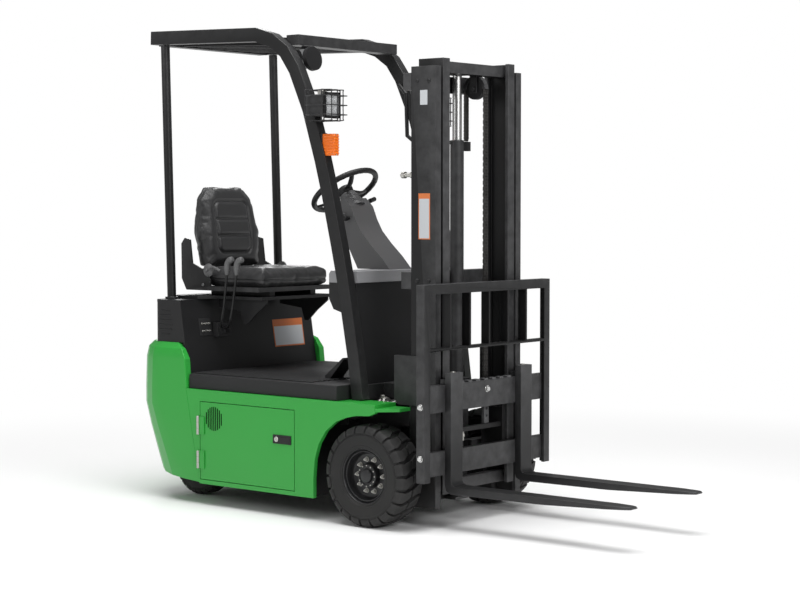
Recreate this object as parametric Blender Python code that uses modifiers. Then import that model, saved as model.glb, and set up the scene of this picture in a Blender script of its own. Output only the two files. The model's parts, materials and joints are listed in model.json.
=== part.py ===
"""A small four-wheel electric forklift: a body with a battery bay, a driver's guard, a tilting
two-stage mast, a carriage with forks and a steered rear axle.

Metres, +Z up, forks towards +X, driver's left towards +Y."""

import math

import bmesh
import bpy
from mathutils import Matrix, Vector

# ---------------------------------------------------------------- driving dimensions
# Along the truck, from the front axle (x = 0). The whole model is then moved so that x = 0 is mid length.
FORK_TIP = 1.168
TAIL = -1.430
REAR_AXLE = -1.160
BAY_FRONT = -0.300
BAY_REAR = -0.950
BATTERY_HALF_WIDTH = 0.400
BATTERY_TOP = 0.470
BATTERY_GAP = 0.010
HOOD_FRONT = -1.060

# Body
SEAM_FOOT = -0.953
SEAM_SLOPE = 0.1942
SEAM_GAP = 0.0008
LAP = 0.002
BODY_HALF_WIDTH = 0.470
BODY_TOP = 0.511
BODY_BOTTOM = 0.094
WALL = 0.020
SHEET = 0.012
GAP = 0.0003
DOOR_CLEARANCE = 0.003
FLOOR_TOP = 0.575
FLOOR_HALF_WIDTH = 0.455
COUNTERWEIGHT_TOP = 0.710
COUNTERWEIGHT_RISE = 0.032
DOOR_REAR = -0.949
DOOR_FRONT = -0.382
DOOR_LOW = 0.1125
DOOR_HIGH = 0.4605
DOOR_HINGE_X = -0.955
DOOR_HINGE_Y = BODY_HALF_WIDTH + 0.0065
HINGE_RADIUS = 0.006
SHELF_INNER = 0.330
FENDER_TIP = 0.135
FLOOR_FRONT = 0.034
HOOD_REAR = -1.290
HOOD_TOP = 0.900
HOOD_HALF_WIDTH = 0.430
HOOD_LEAN = 0.160
HOOD_BACK_OF_FRONT = -1.100
COWL_TOP = 1.048
COWL_HALF_WIDTH = 0.330
LEVER_BACK = -1.0855

# Front wheels
TYRE_RADIUS = 0.2125
TYRE_WIDTH = 0.155
WHEEL_CENTRE = 0.4025
RIM_RADIUS = 0.113
AXLE_RADIUS = 0.030
AXLE_CLEARANCE = 0.0008
PIN_CLEARANCE = 0.0008

# Rear steered wheels
REAR_TYRE_RADIUS = 0.150
REAR_TYRE_WIDTH = 0.100
REAR_WHEEL_CENTRE = 0.235
REAR_RIM_RADIUS = 0.078
KINGPIN_OFFSET = 0.150
KINGPIN_RADIUS = 0.012
REAR_SPINDLE_RADIUS = 0.016
REAR_SWEEP = 0.202
WHEEL_BAY_TOP = 0.350

# Driver's guard
GUARD_HALF_WIDTH = 0.380
GUARD_TUBE_WIDTH = 0.046
GUARD_TUBE_DEPTH = 0.060
POST_RADIUS = 0.020
POST_X = -1.240
POST_TOP = 2.050
SIGNAL_LOW = 1.530
SIGNAL_HIGH = 1.630

# Mast
MAST_FRONT = 0.241
MAST_DEPTH = 0.128
MAST_HALF_WIDTH = 0.298
OUTER_TOP = 1.893
OUTER_FOOT = 0.078
INNER_HALF_WIDTH = 0.249
INNER_TOP = OUTER_TOP + 0.034
INNER_FOOT = 0.133
MAST_WEB = 0.012
MAST_FLANGE = 0.016
OUTER_FLANGE_REACH = 0.036
INNER_FLANGE_REACH = 0.046
PIVOT_X = 0.078
PIVOT_Z = 0.170
PIVOT_RADIUS = 0.016
CYLINDER_X = 0.122
CYLINDER_RADIUS = 0.029
CYLINDER_TOP = OUTER_TOP - 0.293
LIFT_ROD_RADIUS = 0.020
CHAIN_Y = 0.060
SHEAVE_RADIUS = 0.044
SHEAVE_X = 0.176
SHEAVE_Z = OUTER_TOP - 0.078
CHAIN_WIDTH = 0.026
CHAIN_THICKNESS = 0.012
CHAIN_CLEARANCE = 0.0009
CYLINDER_FOOT = 0.090
CROSSHEAD_LOW = OUTER_TOP - 0.021
CROSSHEAD_HIGH = OUTER_TOP + 0.025
ROLLER_CLEARANCE = 0.0004
LUG_FACE = 0.2615
BEAM_INNER = 0.150
BEAM_OUTER = 0.190
BEAM_BOTTOM = TYRE_RADIUS + 0.055
TILT_Y = 0.268
TILT_REAR_X = -0.245
TILT_REAR_Z = 0.430
TILT_EYE_X = 0.075
TILT_EYE_Z = 0.530
TILT_PIN_RADIUS = 0.010
TILT_ROD_RADIUS = 0.011
BRACKET_LOW = 0.500
BRACKET_HIGH = 0.705

# Carriage and forks
BAR_FRONT = 0.280
BAR_REAR = 0.250
BAR_HALF_WIDTH = 0.425
UPPER_BAR_BOTTOM = 0.482
UPPER_BAR_TOP = 0.593
LOWER_BAR_BOTTOM = 0.224
LOWER_BAR_TOP = 0.322
FORK_CENTRE = 0.245
FORK_WIDTH = 0.080
FORK_THICKNESS = 0.032
FORK_TOP = 0.178
SHANK_TOP = 0.642
BACKREST_HALF_WIDTH = 0.441
BACKREST_TOP = 1.006
CHAIN_LUG_TOP = 0.402
ROLLER_LEVELS = (0.308, 0.414)

# Steering
WHEEL_HUB = (-0.505, 0.0, 1.392)
STEERING_RADIUS = 0.152
COLUMN_LEAN = math.radians(35.0)
RIM_TUBE = 0.012

# Seat
SEAT_REAR = -1.200
SEAT_FRONT = -0.790
SEAT_HALF_WIDTH = 0.240
LID_BOTTOM = 0.9003
LID_TOP = 0.915
CROSS_TUBE_Z = 1.020
CROSS_TUBE_RADIUS = 0.014

MIDDLE = (FORK_TIP + TAIL) / 2


# ---------------------------------------------------------------- materials
def make_material(name, colour, roughness, metallic=0.0):
    material = bpy.data.materials.new(name)
    material.use_nodes = True
    shader = material.node_tree.nodes["Principled BSDF"]
    shader.inputs["Base Color"].default_value = (*colour, 1.0)
    shader.inputs["Roughness"].default_value = roughness
    shader.inputs["Metallic"].default_value = metallic
    material.diffuse_color = (*colour, 1.0)
    return material


def clear_scene():
    for old in list(bpy.data.objects):
        bpy.data.objects.remove(old, do_unlink=True)


clear_scene()
parts = bpy.data.collections.new("forklift")
cutters = bpy.data.collections.new("cutters")
bpy.context.scene.collection.children.link(parts)
bpy.context.scene.collection.children.link(cutters)

GREEN = make_material("green_paint", (0.035, 0.42, 0.065), 0.35)
BLACK = make_material("black_paint", (0.016, 0.016, 0.017), 0.45)
GREY = make_material("mast_paint", (0.03, 0.03, 0.032), 0.4)
PLASTIC = make_material("black_plastic", (0.02, 0.02, 0.021), 0.55)
VINYL = make_material("seat_vinyl", (0.018, 0.018, 0.018), 0.5)
TYRE = make_material("tyre_rubber", (0.014, 0.014, 0.014), 0.85)
STEEL = make_material("bright_steel", (0.6, 0.6, 0.6), 0.25, 1.0)
ORANGE = make_material("signal_lens", (0.8, 0.16, 0.01), 0.2)
LEVER = make_material("grey_plastic", (0.12, 0.12, 0.125), 0.5)


# ---------------------------------------------------------------- pivots: empties that carry the moving pieces
def make_pivot(name, place, parent=None):
    """An empty at a place given in truck coordinates, under its parent's empty."""
    pivot = bpy.data.objects.new(name, None)
    parts.objects.link(pivot)
    pivot["place"] = place
    pivot.location = place
    if parent:
        pivot.parent = parent
        pivot.location = Vector(place) - Vector(parent["place"])
    return pivot


CHASSIS = make_pivot("chassis_origin", (0.0, 0.0, 0.0))
CHASSIS.location = (-MIDDLE, 0.0, 0.0)
MAST = make_pivot("mast_pivot", (PIVOT_X, 0.0, PIVOT_Z), CHASSIS)
INNER = make_pivot("inner_mast_slide", (MAST_FRONT, 0.0, INNER_FOOT), MAST)
CARRIAGE = make_pivot("carriage_slide", (BAR_REAR, 0.0, LOWER_BAR_BOTTOM), INNER)


# ---------------------------------------------------------------- shape helpers
def add_object(name, mesh, material, pivot):
    """Links a mesh whose points are in truck coordinates, and hangs it on a pivot."""
    made = bpy.data.objects.new(name, mesh)
    mesh.materials.append(material)
    parts.objects.link(made)
    made.parent = pivot
    made.location = -Vector(pivot["place"])
    return made


def smooth(made, angle=35.0):
    made.data.shade_smooth()
    made.data.set_sharp_from_angle(angle=math.radians(angle))


def box(name, low, high, material=BLACK, pivot=CHASSIS):
    shape = bmesh.new()
    bmesh.ops.create_cube(shape, size=1.0)
    size = Vector(high) - Vector(low)
    bmesh.ops.scale(shape, vec=size, verts=shape.verts)
    bmesh.ops.translate(shape, vec=(Vector(low) + Vector(high)) / 2, verts=shape.verts)
    mesh = bpy.data.meshes.new(name)
    shape.to_mesh(mesh)
    shape.free()
    return add_object(name, mesh, material, pivot)


def rod(name, start, end, radius, material=BLACK, pivot=CHASSIS, sides=16, end_radius=None):
    """A straight round bar, or a cone, from start to end."""
    start, end = Vector(start), Vector(end)
    along = end - start
    shape = bmesh.new()
    bmesh.ops.create_cone(
        shape,
        cap_ends=True,
        segments=sides,
        radius1=radius,
        radius2=radius if end_radius is None else end_radius,
        depth=along.length,
    )
    turn = Vector((0, 0, 1)).rotation_difference(along).to_matrix().to_4x4()
    bmesh.ops.transform(shape, matrix=Matrix.Translation((start + end) / 2) @ turn, verts=shape.verts)
    mesh = bpy.data.meshes.new(name)
    shape.to_mesh(mesh)
    shape.free()
    made = add_object(name, mesh, material, pivot)
    smooth(made)
    return made


def mesh_of_curve(name, curve, matrix, material, pivot):
    """The evaluated curve as a closed mesh, moved by matrix."""
    holder = bpy.data.objects.new(name + "_curve", curve)
    bpy.context.scene.collection.objects.link(holder)
    graph = bpy.context.evaluated_depsgraph_get()
    mesh = bpy.data.meshes.new_from_object(holder.evaluated_get(graph))
    bpy.data.objects.remove(holder, do_unlink=True)
    shape = bmesh.new()
    shape.from_mesh(mesh)
    bmesh.ops.remove_doubles(shape, verts=shape.verts, dist=0.00002)
    bmesh.ops.transform(shape, matrix=matrix, verts=shape.verts)
    shape.to_mesh(mesh)
    shape.free()
    mesh.name = name
    mesh.materials.clear()
    return add_object(name, mesh, material, pivot)


def outline(name, points, low, high, axis="Y", material=BLACK, pivot=CHASSIS):
    """A flat outline pulled from low to high along an axis.
    Points are (x, z) for axis Y, (y, z) for axis X and (x, y) for axis Z."""
    curve = bpy.data.curves.new(name, "CURVE")
    curve.dimensions = "2D"
    curve.fill_mode = "BOTH"
    curve.extrude = (high - low) / 2
    spline = curve.splines.new("POLY")
    spline.points.add(len(points) - 1)
    for point, (u, v) in zip(spline.points, points):
        point.co = (u, v, 0.0, 1.0)
    spline.use_cyclic_u = True
    middle = (high + low) / 2
    turns = {
        "Y": Matrix(((1, 0, 0, 0), (0, 0, -1, middle), (0, 1, 0, 0), (0, 0, 0, 1))),
        "X": Matrix(((0, 0, 1, middle), (1, 0, 0, 0), (0, 1, 0, 0), (0, 0, 0, 1))),
        "Z": Matrix(((1, 0, 0, 0), (0, 1, 0, 0), (0, 0, 1, middle), (0, 0, 0, 1))),
    }
    return mesh_of_curve(name, curve, turns[axis], material, pivot)


def tube(name, points, radius, material=BLACK, pivot=CHASSIS, resolution=2):
    """A round bar bent along points, as a mesh."""
    curve = bpy.data.curves.new(name, "CURVE")
    curve.dimensions = "3D"
    curve.bevel_depth = radius
    curve.bevel_resolution = resolution
    curve.use_fill_caps = True
    spline = curve.splines.new("POLY")
    spline.points.add(len(points) - 1)
    for point, place in zip(spline.points, points):
        point.co = (*place, 1.0)
    made = mesh_of_curve(name, curve, Matrix.Identity(4), material, pivot)
    smooth(made)
    return made


def turned(name, profile, place, tilt, material=BLACK, pivot=CHASSIS, steps=28):
    """A profile of (radius, height) from top to bottom, turned about Z, then tilted and put in place."""
    shape = bmesh.new()
    points = [shape.verts.new((radius, 0.0, height)) for radius, height in profile]
    for first, second in zip(points, points[1:]):
        shape.edges.new((first, second))
    mesh = bpy.data.meshes.new(name)
    shape.to_mesh(mesh)
    shape.free()
    made = add_object(name, mesh, material, pivot)
    made.location = Vector(place) - Vector(pivot["place"])
    made.rotation_euler = tilt
    screw = made.modifiers.new("turn", "SCREW")
    screw.steps = steps
    screw.render_steps = steps
    screw.use_merge_vertices = True
    screw.merge_threshold = 0.00001
    screw.use_smooth_shade = True
    return made


def as_helper(made):
    """Moves an object out of the parts: it only cuts or joins."""
    for collection in list(made.users_collection):
        collection.objects.unlink(made)
    cutters.objects.link(made)
    made.hide_render = True
    made.display_type = "WIRE"


def combine(target, others, operation):
    for other in others:
        as_helper(other)
        boolean = target.modifiers.new(operation.lower(), "BOOLEAN")
        boolean.operation = operation
        boolean.object = other
    return target


def cut(target, *others):
    return combine(target, others, "DIFFERENCE")


def join(target, *others):
    return combine(target, others, "UNION")


def bevelled(made, width, segments=2, angle=40.0):
    bevel = made.modifiers.new("edges", "BEVEL")
    bevel.width = width
    bevel.segments = segments
    bevel.limit_method = "ANGLE"
    bevel.angle_limit = math.radians(angle)
    return made


def arc(centre, radius, start, end, steps):
    """Points of an arc in degrees, as (u, v) pairs."""
    found = []
    for step in range(steps + 1):
        angle = math.radians(start + (end - start) * step / steps)
        found.append((centre[0] + radius * math.cos(angle), centre[1] + radius * math.sin(angle)))
    return found


def bar_outline(line, width):
    """The outline of a flat bar of one width that follows a line of (u, v) points."""
    left, right = [], []
    for index, point in enumerate(line):
        before = Vector(line[max(index - 1, 0)])
        after = Vector(line[min(index + 1, len(line) - 1)])
        along = (after - before).normalized()
        across = Vector((-along.y, along.x)) * width / 2
        left.append(tuple(Vector(point) + across))
        right.append(tuple(Vector(point) - across))
    return left + right[::-1]


SIDES = (("right", -1), ("left", 1))


def span(side, inner, outer):
    """Low and high y of something between two distances from the centre plane, on one side."""
    return (inner, outer) if side > 0 else (-outer, -inner)


def seam_x(z):
    """The slanted joint between the side panels and the counterweight."""
    return SEAM_FOOT - SEAM_SLOPE * (z - BODY_BOTTOM)


# ---------------------------------------------------------------- body
def build_frame():
    """The battery bay's floor and bulkheads, with the beams that reach forward over the axle."""
    inside = BODY_HALF_WIDTH - WALL - GAP
    top = BODY_TOP
    frame = box("chassis_frame", (BAY_REAR, -inside, BODY_BOTTOM), (BAY_FRONT, inside, BODY_BOTTOM + SHEET))
    pieces = [
        box("bay_rear", (BAY_REAR, -inside, BODY_BOTTOM), (BAY_REAR + SHEET, inside, top)),
        box("bay_front", (BAY_FRONT - SHEET, -inside, BODY_BOTTOM), (BAY_FRONT, inside, top)),
        box("cross_plate", (FLOOR_FRONT - SHEET, -0.200, BEAM_BOTTOM + 0.050),
            (FLOOR_FRONT - GAP, 0.200, top)),
    ]
    for word, side in SIDES:
        low, high = span(side, BEAM_INNER, BEAM_OUTER)
        start, end = (BAY_FRONT - LAP, low, BEAM_BOTTOM), (FLOOR_FRONT, high, BEAM_BOTTOM + 0.070)
        pieces.append(box(f"{word}_beam", start, end))
        for inner in (TILT_Y - 0.042, TILT_Y + 0.030):
            low, high = span(side, inner, inner + SHEET)
            ear = ((BAY_FRONT - LAP, low, TILT_REAR_Z - 0.035),
                (TILT_REAR_X + 0.025, high, TILT_REAR_Z + 0.035))
            pieces.append(box(f"{word}_ear", *ear))
        low, high = span(side, TILT_Y - 0.036, TILT_Y + 0.036)
        start, end = (TILT_REAR_X, low, TILT_REAR_Z), (TILT_REAR_X, high, TILT_REAR_Z)
        pieces.append(rod(f"{word}_ear_pin", start, end, TILT_PIN_RADIUS))
    return join(frame, *pieces)


def panel_outline():
    """The green side panel from the seam to the front of the wheel arch."""
    arch = [(-0.276, 0.180), (-0.268, 0.262), (-0.246, 0.326), (-0.207, 0.383), (-0.153, 0.425)]
    arch += [(-0.098, 0.447), (-0.040, 0.459), (0.030, 0.463), (0.060, 0.476)]
    low = [(seam_x(BODY_BOTTOM), BODY_BOTTOM), (-0.276, BODY_BOTTOM)]
    return low + arch + [(0.060, BODY_TOP), (seam_x(BODY_TOP), BODY_TOP)]


def build_side_panel(word, side):
    """The panel with its door opening, and the fender's shelf and lip above the wheel."""
    low, high = span(side, BODY_HALF_WIDTH - WALL, BODY_HALF_WIDTH)
    panel = outline(f"{word}_side_panel", panel_outline(), low, high, "Y", GREEN)
    hole = box(f"{word}_door_hole", (DOOR_REAR, low - 0.05, DOOR_LOW), (DOOR_FRONT, high + 0.05, DOOR_HIGH))
    inner, outer = side * SHELF_INNER, side * (BODY_HALF_WIDTH - 0.0005)
    shelf = [(-0.295, inner), (0.058, inner), (0.058, outer), (-0.295, outer)]
    lip = [(0.045, inner), (FENDER_TIP, inner), (FENDER_TIP, outer - side * 0.070), (0.058, outer),
        (0.045, outer)]
    pieces = [
        outline(f"{word}_shelf", shelf, BODY_TOP - SHEET, BODY_TOP - 0.0005, "Z", GREEN),
        outline(f"{word}_lip", lip, BODY_TOP - 0.030, BODY_TOP - 0.016, "Z", GREEN),
        outline(f"{word}_step", shelf[1:3] + [(0.045, outer), (0.045, inner)], BODY_TOP - 0.030,
            BODY_TOP - 0.001, "Z"),
    ]
    join(panel, *pieces)
    return cut(panel, hole)


def build_door(word, side):
    """A flush door in the side panel, hung on a vertical hinge at its rear edge."""
    hinge = make_pivot(f"{word}_door_hinge", (DOOR_HINGE_X, side * DOOR_HINGE_Y, DOOR_LOW), CHASSIS)
    low, high = span(side, BODY_HALF_WIDTH - WALL, BODY_HALF_WIDTH)
    start = (DOOR_REAR + DOOR_CLEARANCE, low, DOOR_LOW + DOOR_CLEARANCE)
    end = (DOOR_FRONT - DOOR_CLEARANCE, high, DOOR_HIGH - DOOR_CLEARANCE)
    door = box(f"{word}_battery_door", start, end, GREEN, hinge)
    knuckles = []
    for middle in (0.202, 0.353):
        low, high = (DOOR_HINGE_X, side * DOOR_HINGE_Y, middle - 0.040), (DOOR_HINGE_X,
            side * DOOR_HINGE_Y, middle + 0.040)
        knuckles.append(rod(f"{word}_hinge_barrel", low, high, HINGE_RADIUS, GREEN, hinge, 12))
        inner, outer = span(side, BODY_HALF_WIDTH + 0.001, BODY_HALF_WIDTH + 0.0055)
        leaf = ((DOOR_HINGE_X, inner, middle - 0.039), (DOOR_REAR + 0.030, outer, middle + 0.039))
        knuckles.append(box(f"{word}_hinge_leaf", *leaf, GREEN, hinge))
        inner, outer = span(side, BODY_HALF_WIDTH - 0.004, BODY_HALF_WIDTH + 0.004)
        root = ((DOOR_REAR + 0.006, inner, middle - 0.037), (DOOR_REAR + 0.028, outer, middle + 0.037))
        knuckles.append(box(f"{word}_hinge_root", *root, GREEN, hinge))
    return join(door, *knuckles)


def weight_ring(half_width, rear, radius, height, front, rise=0.0):
    """The counterweight's outline at one height: square in front, round at the rear corners."""
    points = [(front, -half_width)]
    points += arc((rear + radius, -half_width + radius), radius, 270, 180, 6)
    points += arc((rear + radius, half_width - radius), radius, 180, 90, 6)
    points += [(front, half_width)]
    return [(x, y, height + rise * (front - x) / (front - rear)) for x, y in points]


def loft(name, rings, material, pivot=CHASSIS):
    """A closed solid through rings of equally many points."""
    shape = bmesh.new()
    made = [[shape.verts.new(point) for point in ring] for ring in rings]
    for lower, upper in zip(made, made[1:]):
        for index in range(len(lower)):
            following = (index + 1) % len(lower)
            shape.faces.new((lower[index], lower[following], upper[following], upper[index]))
    shape.faces.new(made[0][::-1])
    shape.faces.new(made[-1])
    bmesh.ops.recalc_face_normals(shape, faces=shape.faces)
    mesh = bpy.data.meshes.new(name)
    shape.to_mesh(mesh)
    shape.free()
    made = add_object(name, mesh, material, pivot)
    smooth(made)
    return made


def build_counterweight():
    """The casting behind the battery bay: round rear corners, a crowned top and a bay for the steered wheels."""
    half, tail, gap = BODY_HALF_WIDTH, TAIL, SEAM_GAP
    bottom = BODY_BOTTOM + 0.004
    rings = [
        weight_ring(half - 0.004, tail + 0.045, 0.330, bottom, seam_x(bottom) - gap, COUNTERWEIGHT_RISE),
        weight_ring(half - 0.001, tail + 0.032, 0.305, 0.200, seam_x(0.200) - gap),
        weight_ring(half, tail + 0.010, 0.262, 0.330, seam_x(0.330) - gap),
        weight_ring(half, tail, 0.227, 0.430, seam_x(0.430) - gap),
        weight_ring(half, tail, 0.227, BODY_TOP, seam_x(BODY_TOP) - gap),
        weight_ring(half - 0.003, tail + 0.004, 0.225, 0.640, seam_x(BODY_TOP) - 0.012),
        weight_ring(half - 0.012, tail + 0.016, 0.215, 0.685, seam_x(BODY_TOP) - 0.040),
        weight_ring(half - 0.035, tail + 0.045, 0.190, COUNTERWEIGHT_TOP, seam_x(BODY_TOP) - 0.085),
    ]
    weight = loft("counterweight", rings, GREEN)
    reach = REAR_SWEEP + 0.007
    plan = [(-0.900, -KINGPIN_OFFSET - reach)] + arc((REAR_AXLE, -KINGPIN_OFFSET), reach, 270, 180, 6)
    plan += arc((REAR_AXLE, KINGPIN_OFFSET), reach, 180, 90, 6) + [(-0.900, KINGPIN_OFFSET + reach)]
    bay = outline("wheel_bay", plan, 0.0, WHEEL_BAY_TOP, "Z")
    low, high = (HOOD_BACK_OF_FRONT, -0.4325, WHEEL_BAY_TOP - 0.010), (-0.900, 0.4325, 0.800)
    return cut(weight, bay, box("hood_room", low, high))


def build_battery():
    """The battery, as one plain block standing on the bay's floor."""
    low = (BAY_REAR + SHEET + BATTERY_GAP, -BATTERY_HALF_WIDTH, BODY_BOTTOM + SHEET + GAP)
    high = (BAY_FRONT - SHEET - BATTERY_GAP, BATTERY_HALF_WIDTH, BATTERY_TOP)
    box("battery", low, high, LEVER)


def build_floor():
    """The driver's floor: a tray turned over, which ends behind the guard's pillars and narrows ahead of the cowl."""
    wide, pillar, narrow = FLOOR_HALF_WIDTH, SHELF_INNER, 0.215
    right = [(-1.0575, -0.430), (-1.030, -0.430), (-1.030, -wide), (-0.160, -wide), (-0.160, -pillar)]
    right += [(-0.100, -pillar), (-0.100, -narrow), (FLOOR_FRONT, -narrow)]
    floor = outline("floor_plate", right + [(x, -y) for x, y in right[::-1]], BODY_TOP + GAP, FLOOR_TOP,
        "Z")
    hollow = box("floor_hollow", (-1.018, -0.418, 0.400), (-0.172, 0.418, FLOOR_TOP - SHEET))
    return cut(floor, hollow)


def build_hood():
    """The black housing under the seat, open below on the counterweight, with a hatch in its top for the lid."""
    top, low, seat = HOOD_TOP, COUNTERWEIGHT_TOP + GAP, FLOOR_TOP + GAP
    lean = (top - seat) * HOOD_LEAN
    drop = (low - seat) * HOOD_LEAN
    side = [(HOOD_REAR, low), (HOOD_REAR, top), (HOOD_FRONT - lean, top), (HOOD_FRONT, seat)]
    side += [(HOOD_FRONT - 0.014, seat), (HOOD_FRONT - 0.014 - drop, low)]
    half = HOOD_HALF_WIDTH
    hood = outline("hood", side, -half, half, "Y", PLASTIC)
    inner_top = top - SHEET
    inner_lean = (inner_top - 0.500) * HOOD_LEAN
    start = HOOD_FRONT - 0.013 + (seat - 0.500) * HOOD_LEAN
    inside = [(HOOD_REAR + SHEET, 0.500), (HOOD_REAR + SHEET, inner_top), (start - inner_lean, inner_top),
        (start, 0.500)]
    hollow = outline("hood_hollow", inside, -half + SHEET, half - SHEET, "Y")
    hatch = box("hood_hatch", (HOOD_REAR + 0.045, -0.290, 0.800), (HOOD_FRONT - lean - 0.030, 0.290, 1.000))
    corner = 0.050
    for word, sign in SIDES:
        centre = (HOOD_REAR + corner, sign * (half - corner))
        angles = (180, 270) if sign < 0 else (180, 90)
        edge = [(HOOD_REAR - 0.01, sign * (half + 0.01)), (HOOD_REAR - 0.01, centre[1])]
        edge += arc(centre, corner, *angles, 4)
        edge += [(centre[0], sign * (half + 0.01))]
        cut(hood, outline(f"{word}_hood_corner", edge, 0.600, 1.000, "Z"))
    return cut(hood, hollow, hatch)


def build_cowl():
    """The moulded front cover with the dash on top, between the guard's front pillars."""
    seat = FLOOR_TOP + GAP
    side = [(-0.105, seat), (-0.160, 1.000), (-0.150, 1.000), (-0.150, COWL_TOP), (-0.300, COWL_TOP),
        (-0.310, 1.035)]
    side += [(-0.310, 0.930), (-0.285, 0.885), (-0.215, 0.865), (-0.190, 0.660), (-0.180, seat)]
    return outline("front_cowl", side, -COWL_HALF_WIDTH, COWL_HALF_WIDTH, "Y", PLASTIC)


def build_column():
    """The curved cover of the steering column, with its ribbed neck and two stalks."""
    seat = COWL_TOP + GAP
    rear = [(-0.367, seat), (-0.414, 1.131), (-0.468, 1.235), (-0.500, 1.300), (-0.500, 1.325)]
    front = [(-0.445, 1.358), (-0.405, 1.320), (-0.380, 1.262), (-0.350, 1.212), (-0.300, 1.160),
        (-0.235, 1.102), (-0.185, seat)]
    column = outline("steering_column", rear + front, -0.075, 0.075, "Y", PLASTIC)
    axis = steering_axis()
    hub = Vector(WHEEL_HUB)
    neck = rod("neck", hub - axis * 0.100, hub - axis * 0.024, 0.052, PLASTIC, end_radius=0.036)
    stalks = []
    for word, side in SIDES:
        start, end = (-0.440, side * 0.070, 1.285), (-0.462, side * 0.150, 1.290)
        stalks.append(rod(f"{word}_stalk", start, end, 0.007, PLASTIC, sides=8))
    return join(column, neck, *stalks)


def steering_axis():
    return Vector((-math.sin(COLUMN_LEAN), 0.0, math.cos(COLUMN_LEAN)))


def build_steering_wheel():
    hub = Vector(WHEEL_HUB)
    pivot = make_pivot("steering_pivot", WHEEL_HUB, CHASSIS)
    bpy.ops.mesh.primitive_torus_add(
        major_segments=32,
        minor_segments=10,
        major_radius=STEERING_RADIUS,
        minor_radius=RIM_TUBE,
        location=hub,
        rotation=(0.0, -COLUMN_LEAN, 0.0),
    )
    torus = bpy.context.object
    mesh = torus.data
    mesh.transform(torus.matrix_world)
    bpy.data.objects.remove(torus)
    wheel = add_object("steering_wheel", mesh, PLASTIC, pivot)
    smooth(wheel)
    axis = steering_axis()
    pieces = [rod("hub", hub - axis * 0.0235, hub + axis * 0.006, 0.032, PLASTIC, pivot)]
    for angle in (90, 210, 330):
        turn = Matrix.Rotation(-COLUMN_LEAN, 3, "Y") @ Matrix.Rotation(math.radians(angle), 3, "Z")
        end = hub + turn @ Vector((STEERING_RADIUS, 0.0, 0.0))
        pieces.append(rod("spoke", hub - axis * 0.008, end, 0.008, PLASTIC, pivot, 8))
    return join(wheel, *pieces)


def build_levers():
    """Two control levers in one housing on the hood's front, bent out past the seat."""
    levers = box("control_levers", (LEVER_BACK, -0.240, 0.735), (LEVER_BACK + 0.040, -0.165, 0.775),
        PLASTIC)
    pieces = []
    for start_y, knee, top in ((-0.222, (-1.010, -0.270), -0.965), (-0.187, (-0.960, -0.268), -0.905)):
        foot = (LEVER_BACK + 0.030, start_y, 0.760)
        line = [foot, (knee[0], knee[1], 0.800), ((knee[0] + top) / 2, -0.276, 0.880), (top, -0.278, 1.030)]
        pieces.append(tube("lever", line, 0.0055, BLACK, resolution=1))
        pieces.append(rod("knob", (top, -0.278, 1.020), (top + 0.008, -0.278, 1.088), 0.014, LEVER,
            sides=12))
    return join(levers, *pieces)


def build_pedals():
    seat = FLOOR_TOP + GAP
    slope = [(-0.400, seat), (-0.400, 0.590), (-0.300, 0.672), (-0.292, 0.664), (-0.372, seat)]
    outline("accelerator_pedal", slope, -0.255, -0.170, "Y", PLASTIC)
    pad = outline("brake_pedal", [(-0.350, 0.640), (-0.305, 0.705), (-0.296, 0.699), (-0.341, 0.634)],
        -0.120, -0.040)
    arm = outline("brake_arm", [(-0.345, 0.655), (-0.1962, 0.708), (-0.1984, 0.726), (-0.335, 0.674)],
        -0.088, -0.072)
    join(pad, arm)


# ---------------------------------------------------------------- driver's guard
PILLAR_LINE = [
    (-1.345, 2.085),
    (-0.690, 2.064),
    (-0.600, 2.036),
    (-0.522, 1.983),
    (-0.465, 1.905),
    (-0.420, 1.808),
    (-0.386, 1.733),
    (-0.3165, 1.516),
    (-0.280, 1.384),
    (-0.226, 1.160),
    (-0.196, 1.028),
    (-0.134, 0.690),
    (-0.110, BODY_TOP + GAP),
]


def pillar_edge(z, ahead):
    """x of the pillar's front or rear face at a height on its straight part."""
    for (x1, z1), (x0, z0) in zip(PILLAR_LINE, PILLAR_LINE[1:]):
        if z0 <= z <= z1:
            x = x0 + (x1 - x0) * (z - z0) / (z1 - z0)
            return x + ahead * (GUARD_TUBE_DEPTH / 2) * math.hypot(x1 - x0, z1 - z0) / (z1 - z0)
    raise ValueError("above or below the pillar")


def build_guard():
    inner = GUARD_HALF_WIDTH - GUARD_TUBE_WIDTH
    for word, side in SIDES:
        low, high = span(side, inner, GUARD_HALF_WIDTH)
        pillar = outline(f"guard_{word}_pillar", bar_outline(PILLAR_LINE, GUARD_TUBE_DEPTH), low, high, "Y")
        foot_cut = box(f"{word}_foot_cut", (-0.30, low - 0.01, 0.30), (0.10, high + 0.01, BODY_TOP + GAP))
        cut(pillar, foot_cut)
        y = side * (GUARD_HALF_WIDTH - GUARD_TUBE_WIDTH / 2)
        lean = 0.033
        top = POST_TOP
        post = rod(f"{word}_rear_post", (POST_X, y, HOOD_TOP + 0.005), (POST_X - lean, y, top), POST_RADIUS)
        foot = rod(f"{word}_post_foot", (POST_X, y, HOOD_TOP + GAP), (POST_X, y, HOOD_TOP + 0.010), 0.030)
        join(post, foot)
    reach = inner - GAP
    roof = box("guard_roof", (-0.548, -reach, 2.012), (-0.478, reach, 2.057))
    pieces = [box("rear_beam", (-1.340, -reach, 2.050), (-1.290, reach, 2.110))]
    for y in (-0.225, -0.135, -0.045, 0.045, 0.135, 0.225):
        line = [(-1.300, 2.095), (-1.300, 2.055), (-0.540, 2.020), (-0.540, 2.054)]
        pieces.append(outline("roof_bar", line, y - 0.006, y + 0.006, "Y"))
    join(roof, *pieces)


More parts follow.
